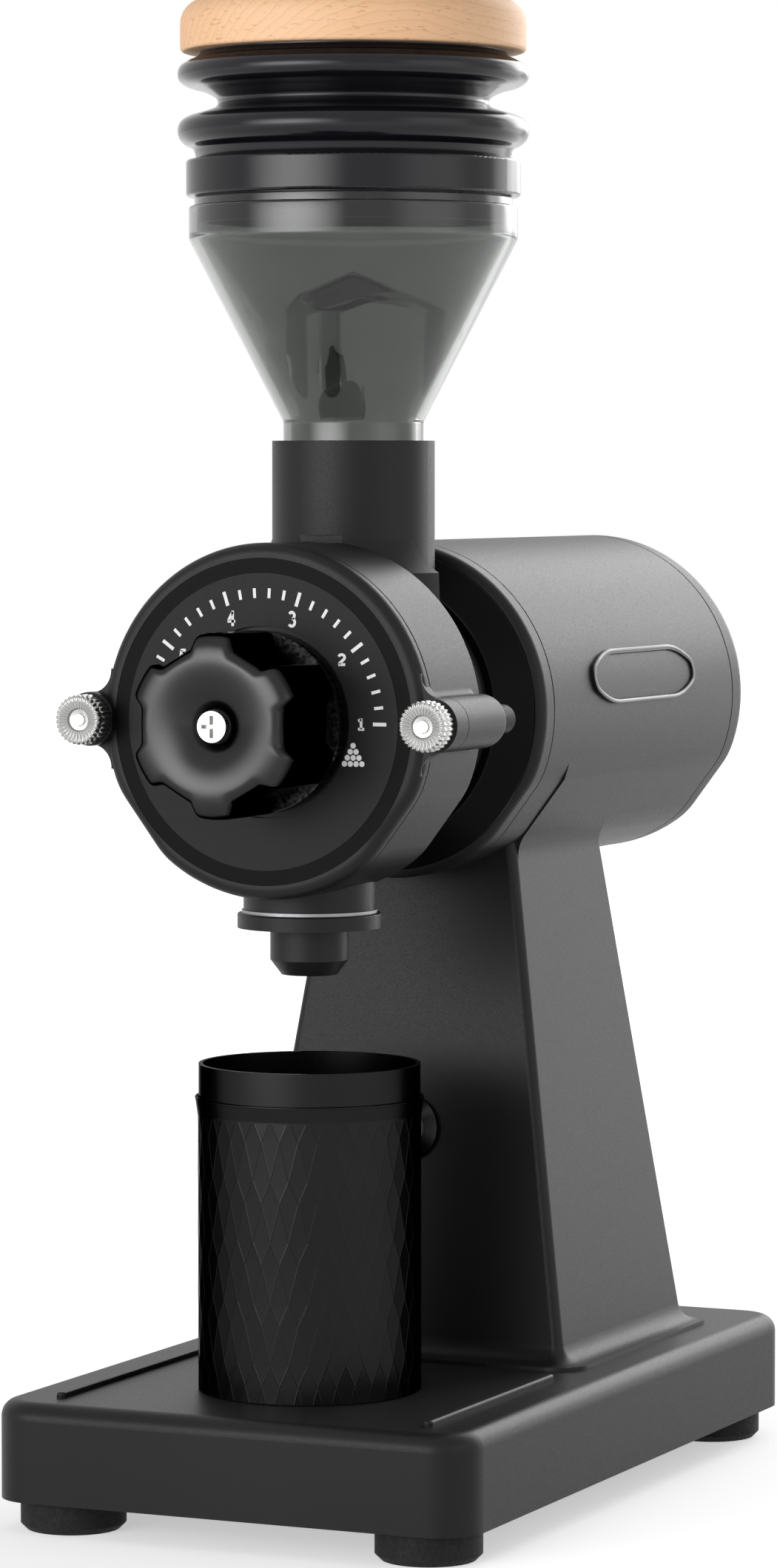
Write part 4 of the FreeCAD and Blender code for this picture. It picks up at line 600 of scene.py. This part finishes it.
def make_thumbscrews():
    """Knurled nickel thumbscrews: a serrated face, dished round a flat boss, and a plain stud behind."""
    teeth, steps_per_tooth = 30, 8
    face, rear, stud_end = -108.7, -101.5, -77.4
    offset, stud, knurl_depth, serration = 48.5, 2.5, 0.42, 0.35

    def knurled(radius, height, angle):
        tooth = abs((angle * teeth / (2 * math.pi)) % 1.0 - 0.5) * 2.0
        if radius > 6.1 and not 2.0 < height - face < 3.2:
            return radius - knurl_depth * tooth, height
        if 3.4 < radius < 5.6 and height < face + 0.7:
            return radius, height + serration * tooth
        return radius, height

    for side, label in ((-1, "left"), (1, "right")):
        outline = [
            (0.0, face + 1.3), (1.5, face + 1.3), (1.7, face + 1.7), (2.7, face + 1.5), (3.0, face + 0.7),
            (3.5, face + 0.35), (4.6, face + 0.1), (5.5, face), (6.2, face + 0.35), (6.5, face + 0.9),
            (6.5, face + 1.9), (6.0, face + 2.3), (5.8, face + 2.6), (6.0, face + 2.9), (6.5, face + 3.3),
            (6.5, rear - 1.1), (6.3, rear - 0.5), (5.8, rear), (stud, rear), (stud, stud_end),
            (0.0, stud_end),
        ]
        name, screw = f"thumbscrew_knurled_{label}", f"thumbscrew_{label}"
        segments = teeth * steps_per_tooth
        mesh = lathe(name, outline, offset * side, 0.0, AXIS_Z, "Y", segments, knurled)
        piece(name, mesh, screw, "nickel", [screw], 45.0)


KNOB_REACH = 23.6


def knob_outline(segments):
    """The knob's radius at each step round its axis: a hexagon with a soft lobe at each corner."""
    flat, half_lobe, passes = 20.0, 5.2, 5
    radii = []
    for step in range(segments):
        away = abs(math.degrees(2.0 * math.pi * step / segments) % 60.0 - 30.0)
        lobe = min(KNOB_REACH, half_lobe / max(math.sin(math.radians(away)), 0.01))
        radii.append(max(flat / math.cos(math.radians(30.0 - away)), lobe))
    for _ in range(passes):
        radii = [(radii[i - 1] + radii[i] + radii[(i + 1) % segments]) / 3.0 for i in range(segments)]
    return radii


def make_knob():
    """The six-lobed knob, with a crowned face that runs down into a trumpet-shaped dish."""
    face, rear, dish = -130.6, -103.0, 5.0
    reach, crown, segments = KNOB_REACH, 16.8, 360
    bore, bore_end, hole = 5.0, -118.0, 2.2
    radii = knob_outline(segments)
    front = smooth_curve(
        [
            (4.4, face + dish), (5.2, face + 0.84 * dish), (6.6, face + 0.6 * dish),
            (8.6, face + 0.38 * dish), (11.2, face + 0.18 * dish), (14.0, face + 0.05 * dish),
            (crown, face), (19.4, face + 0.25), (21.4, face + 0.9), (22.8, face + 2.1),
            (23.4, face + 3.6), (reach, face + 5.4),
        ],
        4,
    )
    side = [(reach, face + 14.0), (reach, rear - 1.0), (reach - 0.3, rear - 0.3), (reach - 1.0, rear)]
    inside = [(bore, rear), (bore, bore_end), (hole, bore_end), (hole, face + dish)]

    def lobed(radius, height, angle):
        if radius <= crown:
            return radius, height
        limit = radii[round(angle / (2.0 * math.pi) * segments) % segments]
        return crown + (radius - crown) * (limit - crown) / (reach - crown), height

    mesh = lathe("knob_lobed", front + side + inside, 0.0, 0.0, AXIS_Z, "Y", segments, lobed)
    piece("knob_lobed", mesh, "adjust_knob", "gloss_black", ["adjust_knob"], 50.0)


# Dial marks

DIAL_FACE_Y = -99.3
MARK_PROUD = 0.06
MARK_SUNK = 0.1


def slab(bm, corners):
    """A thin raised plate on the dial from its (x, z) corners, in order round the plate."""
    front = [bm.verts.new(Vector((x, DIAL_FACE_Y - MARK_PROUD, z)) * MM) for x, z in corners]
    back = [bm.verts.new(Vector((x, DIAL_FACE_Y + MARK_SUNK, z)) * MM) for x, z in corners]
    count = len(corners)
    bm.faces.new(front)
    bm.faces.new(list(reversed(back)))
    for i in range(count):
        following = (i + 1) % count
        bm.faces.new((front[i], back[i], back[following], front[following]))


def finish_marks(name, bm):
    """The marks as one white piece on the front cover."""
    piece(name, to_mesh(name, bm), "front_cover", "dial_face", look="white_marks")


def make_ticks():
    """Ticks every 7.2 degrees from 3 o'clock round the top, longer at each number."""
    count, pitch, ring, numbered = 22, 7.2, 33.0, 5
    bm = bmesh.new()
    for step in range(count):
        angle = math.radians(pitch * step)
        reach, half_width = (1.85, 0.46) if step % numbered == 0 else (1.25, 0.4)
        out = Vector((math.cos(angle), math.sin(angle)))
        across = Vector((-out.y, out.x))
        middle = out * ring + Vector((0.0, AXIS_Z))
        corners = [
            middle - across * half_width - out * reach, middle + across * half_width - out * reach,
            middle + across * half_width + out * reach, middle - across * half_width + out * reach,
        ]
        slab(bm, [(c.x, c.y) for c in corners])
    finish_marks("dial_ticks", bm)


def make_dots():
    """A small triangle of dots, a little below 3 o'clock."""
    bm = bmesh.new()
    turn, ring, rows = math.radians(-17.0), 26.8, 4
    centre = Vector((math.cos(turn), math.sin(turn))) * ring + Vector((0, AXIS_Z))
    pitch, squeeze, radius, sides = 1.62, 0.95, 0.74, 20
    turns = [2 * math.pi * i / sides for i in range(sides)]
    for row in range(rows):
        for column in range(row + 1):
            x = centre.x + (column - row / 2) * pitch
            z = centre.y + ((rows - 1) / 2 - row) * pitch * squeeze
            slab(bm, [(x + radius * math.cos(a), z + radius * math.sin(a)) for a in turns])
    finish_marks("dial_dots", bm)


def arc(x, z, radius, first, last, steps=10):
    """Points on an arc, from one angle to another in degrees."""
    turns = [math.radians(first + (last - first) * i / steps) for i in range(steps + 1)]
    return [(x + radius * math.cos(t), z + radius * math.sin(t)) for t in turns]


# The strokes of each number, in a cell 0.6 wide and 1 high.
STROKES = {
    1: [[(0.34, 1.06), (0.34, 0.0)], [(0.08, 0.8), (0.36, 0.98)], [(0.06, 0.0), (0.62, 0.0)]],
    2: [arc(0.3, 0.7, 0.27, 165.0, -40.0) + [(0.06, 0.06)], [(0.0, 0.0), (0.62, 0.0)]],
    3: [arc(0.27, 0.75, 0.24, 150.0, -80.0), arc(0.27, 0.25, 0.28, 80.0, -150.0)],
    4: [[(0.42, -0.08), (0.42, 1.06)], [(0.42, 0.98), (0.04, 0.34)], [(-0.04, 0.28), (0.66, 0.28)]],
    5: [[(0.58, 1.0), (0.12, 1.0)], [(0.17, 1.0), (0.13, 0.5)], arc(0.27, 0.3, 0.29, 125.0, -150.0)],
}


def stroke(bm, points, width):
    """A line of constant width along some points, with its outer corners mitred."""
    sides = ([], [])
    for i, here in enumerate(points):
        here = Vector(here)
        before = (here - Vector(points[i - 1])).normalized() if i else None
        after = (Vector(points[i + 1]) - here).normalized() if i + 1 < len(points) else None
        way = ((before or after) + (after or before)).normalized()
        across = Vector((-way.y, way.x))
        leg = before or after
        half = width / 2 / max(across.dot(Vector((-leg.y, leg.x))), 0.35)
        sides[0].append(here + across * half)
        sides[1].append(here - across * half)
    for i in range(len(points) - 1):
        corners = (sides[0][i], sides[0][i + 1], sides[1][i + 1], sides[1][i])
        slab(bm, [(c.x, c.y) for c in corners])


def make_numbers():
    """Plain old-style numbers inside the ticks: 1 and 2 are shorter than 3 to 5."""
    width, ring, pitch, wide = 0.72, 27.8, 36.0, 3.1
    bm = bmesh.new()
    for number, lines in STROKES.items():
        angle = math.radians(pitch * (number - 1))
        height = 2.6 if number < 3 else 3.5
        left = ring * math.cos(angle) - 0.32 * wide
        low = AXIS_Z + ring * math.sin(angle) - 0.5 * height
        for line in lines:
            stroke(bm, [(left + x * wide, low + z * height) for x, z in line], width)
    finish_marks("dial_numbers", bm)


def badge_path(inset, steps=10):
    """Points (y, z) round the badge: long ends of one tight arc between two wide ones."""
    half, reach, run, tip = 7.4, 19.5, 13.3, 4.2
    flank = (run * run + half * half - tip * tip) / (2.0 * (half - tip))
    turn = math.degrees(math.atan2(run, flank - half))
    centre_y, centre_z = 50.6, AXIS_Z + 8.0
    path = []
    for end in (1, -1):
        first, last = (90.0, -90.0) if end > 0 else (270.0, 90.0)
        wide_y, tip_y = centre_y + end * reach, centre_y + end * (reach + run)
        path += arc(wide_y, centre_z + end * (half - flank), flank - inset, first, first - turn, steps)
        path += arc(tip_y, centre_z, tip - inset, first - turn, last + turn, 2 * steps)[1:-1]
        path += arc(wide_y, centre_z + end * (flank - half), flank - inset, last + turn, last, steps)
    return path


def make_badge_bead():
    """A fine bright bead along the rim of the bare badge."""
    motor_radius = 45.3
    bead, lift, inset, sides = 0.55, 0.7, 0.6, 12
    path = badge_path(inset)
    turns = [2.0 * math.pi * s / sides for s in range(sides)]
    bm = bmesh.new()
    rings = []
    for i, (y, z) in enumerate(path):
        before, after = Vector(path[i - 1]), Vector(path[(i + 1) % len(path)])
        way = (after - before).normalized()
        rise = math.asin((z - AXIS_Z) / motor_radius)
        outward = Vector((math.cos(rise), 0.0, math.sin(rise)))
        middle = Vector((0.0, y, AXIS_Z)) + outward * (motor_radius + lift)
        across = Vector((-math.sin(rise) * way.x, -way.y, math.cos(rise) * way.x)).normalized()
        places = [middle + (across * math.cos(t) + outward * math.sin(t)) * bead for t in turns]
        rings.append([bm.verts.new(place * MM) for place in places])
    for ring, following in zip(rings, rings[1:] + rings[:1]):
        bridge(bm, ring, following, sides)
    piece("badge_bead", to_mesh("badge_bead", bm), "frame", "body_paint", look="badge_rim")


# Stage

def seen_directly(tree, path):
    """1 for rays from the camera, a reflection or clear plastic, and 0 for light on other surfaces."""
    first = add_node(tree, "ShaderNodeMath", operation="MAXIMUM")
    second = add_node(tree, "ShaderNodeMath", operation="MAXIMUM")
    tree.links.new(path.outputs["Is Camera Ray"], first.inputs[0])
    tree.links.new(path.outputs["Is Transmission Ray"], first.inputs[1])
    tree.links.new(first.outputs["Value"], second.inputs[0])
    tree.links.new(path.outputs["Is Glossy Ray"], second.inputs[1])
    return second.outputs["Value"]


def make_floor():
    """A wide pale floor that stays white to the camera and keeps the object's soft shadow."""
    mesh = bpy.data.meshes.new("floor")
    reach = 6.0
    corners = [(-reach, -reach, 0), (reach, -reach, 0), (reach, reach, 0), (-reach, reach, 0)]
    mesh.from_pydata(corners, [], [(0, 1, 2, 3)])
    floor = bpy.data.objects.new("floor", mesh)
    bpy.context.scene.collection.objects.link(floor)
    g = Graph("floor")
    g.set(Base_Color=(0.86, 0.86, 0.86, 1.0), Roughness=0.9, Specular_IOR_Level=0.1)
    path = g.node("ShaderNodeLightPath")
    glow = g.node("ShaderNodeEmission")
    both = g.node("ShaderNodeAddShader")
    away = g.node("ShaderNodeVectorMath", operation="LENGTH")
    g.join(g.coordinates, away.inputs[0])
    seen = g.node("ShaderNodeMath", operation="MULTIPLY")
    g.join(g.spread(away.outputs["Value"], 0.5, 0.95, 0.4, 1.6), seen.inputs[1])
    g.join(seen_directly(g.tree, path), seen.inputs[0])
    g.join(seen.outputs["Value"], glow.inputs["Strength"])
    g.join(g.shader.outputs["BSDF"], both.inputs[0])
    g.join(glow.outputs["Emission"], both.inputs[1])
    g.join(both.outputs["Shader"], g.tree.nodes["Material Output"].inputs["Surface"])
    mesh.materials.append(g.material)


def make_world():
    """An even pale surround: white to the camera and in reflections, softer as light."""
    world = bpy.data.worlds.new("surround")
    bpy.context.scene.world = world
    world.use_nodes = True
    tree = world.node_tree
    background = tree.nodes["Background"]
    path = tree.nodes.new("ShaderNodeLightPath")
    through = tree.nodes.new("ShaderNodeMapRange")
    through.inputs["To Min"].default_value = 0.3
    through.inputs["To Max"].default_value = 1.0
    tree.links.new(seen_directly(tree, path), through.inputs["Value"])
    tree.links.new(through.outputs["Result"], background.inputs["Strength"])
    background.inputs["Color"].default_value = (1.0, 1.0, 1.0, 1.0)


def soften_lamp(lamp, edge):
    """Lets a lamp's light fall off towards its edges, as a softbox's does."""
    lamp.use_nodes = True
    tree = lamp.node_tree
    parts = tree.nodes.new("ShaderNodeSeparateXYZ")
    tree.links.new(tree.nodes.new("ShaderNodeNewGeometry").outputs["Parametric"], parts.inputs["Vector"])
    half, shares = 0.5, []
    for axis in ("X", "Y"):
        away = add_node(tree, "ShaderNodeMath", operation="SUBTRACT")
        away.inputs[1].default_value = half
        size = add_node(tree, "ShaderNodeMath", operation="ABSOLUTE")
        fall = add_node(tree, "ShaderNodeMapRange", interpolation_type="SMOOTHSTEP")
        fall.inputs["From Min"].default_value = half - edge
        fall.inputs["From Max"].default_value = half
        fall.inputs["To Min"].default_value = 1.0
        fall.inputs["To Max"].default_value = 0.0
        tree.links.new(parts.outputs[axis], away.inputs[0])
        tree.links.new(away.outputs["Value"], size.inputs[0])
        tree.links.new(size.outputs["Value"], fall.inputs["Value"])
        shares.append(fall.outputs["Result"])
    both = add_node(tree, "ShaderNodeMath", operation="MULTIPLY")
    for i, share in enumerate(shares):
        tree.links.new(share, both.inputs[i])
    tree.links.new(both.outputs["Value"], tree.nodes["Emission"].inputs["Strength"])


def make_lamp(name, place, aim, size, power, shape=1.0, edge=0.25):
    """A soft rectangular lamp, whose height is its width times shape."""
    lamp = bpy.data.lights.new(name, "AREA")
    lamp.shape = "RECTANGLE"
    lamp.size = size
    lamp.size_y = size * shape
    lamp.energy = power
    soften_lamp(lamp, edge)
    obj = bpy.data.objects.new(name, lamp)
    bpy.context.scene.collection.objects.link(obj)
    obj.visible_camera = False
    obj.location = place
    obj.rotation_euler = (Vector(aim) - Vector(place)).to_track_quat("-Z", "Y").to_euler()


def make_lamps():
    """A broad soft lamp in front, a weaker one at the right, and two behind for the upper edges."""
    middle = (0.0, -0.03, 0.22)
    make_lamp("back_top", (0.2, 1.6, 0.95), middle, 1.5, 26.0)
    make_lamp("back_right", (0.85, 1.7, 0.5), middle, 1.5, 12.0)
    make_lamp("front", (-0.55, -1.82, 0.45), middle, 3.0, 96.0, 0.5, 0.5)
    make_lamp("right", (1.6, -0.3, 0.6), middle, 2.2, 10.0, 0.7, 0.4)


def make_camera():
    """The photograph's camera: it looks from the front right, slightly down."""
    azimuth, pitch = 24.407, 3.257
    pixels, focal_pixels, sensor = 2120.0, 7499.45, 36.0
    camera = bpy.data.cameras.new("photo_camera")
    camera.sensor_width = sensor
    camera.lens = focal_pixels / pixels * sensor
    obj = bpy.data.objects.new("photo_camera", camera)
    bpy.context.scene.collection.objects.link(obj)
    obj.location = Vector((614.45, -1375.25, 274.73)) * MM
    obj.rotation_euler = (math.radians(90.0 - pitch), 0.0, math.radians(azimuth))
    bpy.context.scene.camera = obj


make_camera()
dress_nodes()
make_bellows()
make_hopper()
make_lid()
make_cup_sleeve()
make_thumbscrews()
make_knob()
make_ticks()
make_dots()
make_numbers()
make_badge_bead()
make_floor()
make_world()
make_lamps()
bpy.context.scene.view_settings.view_transform = "Standard"
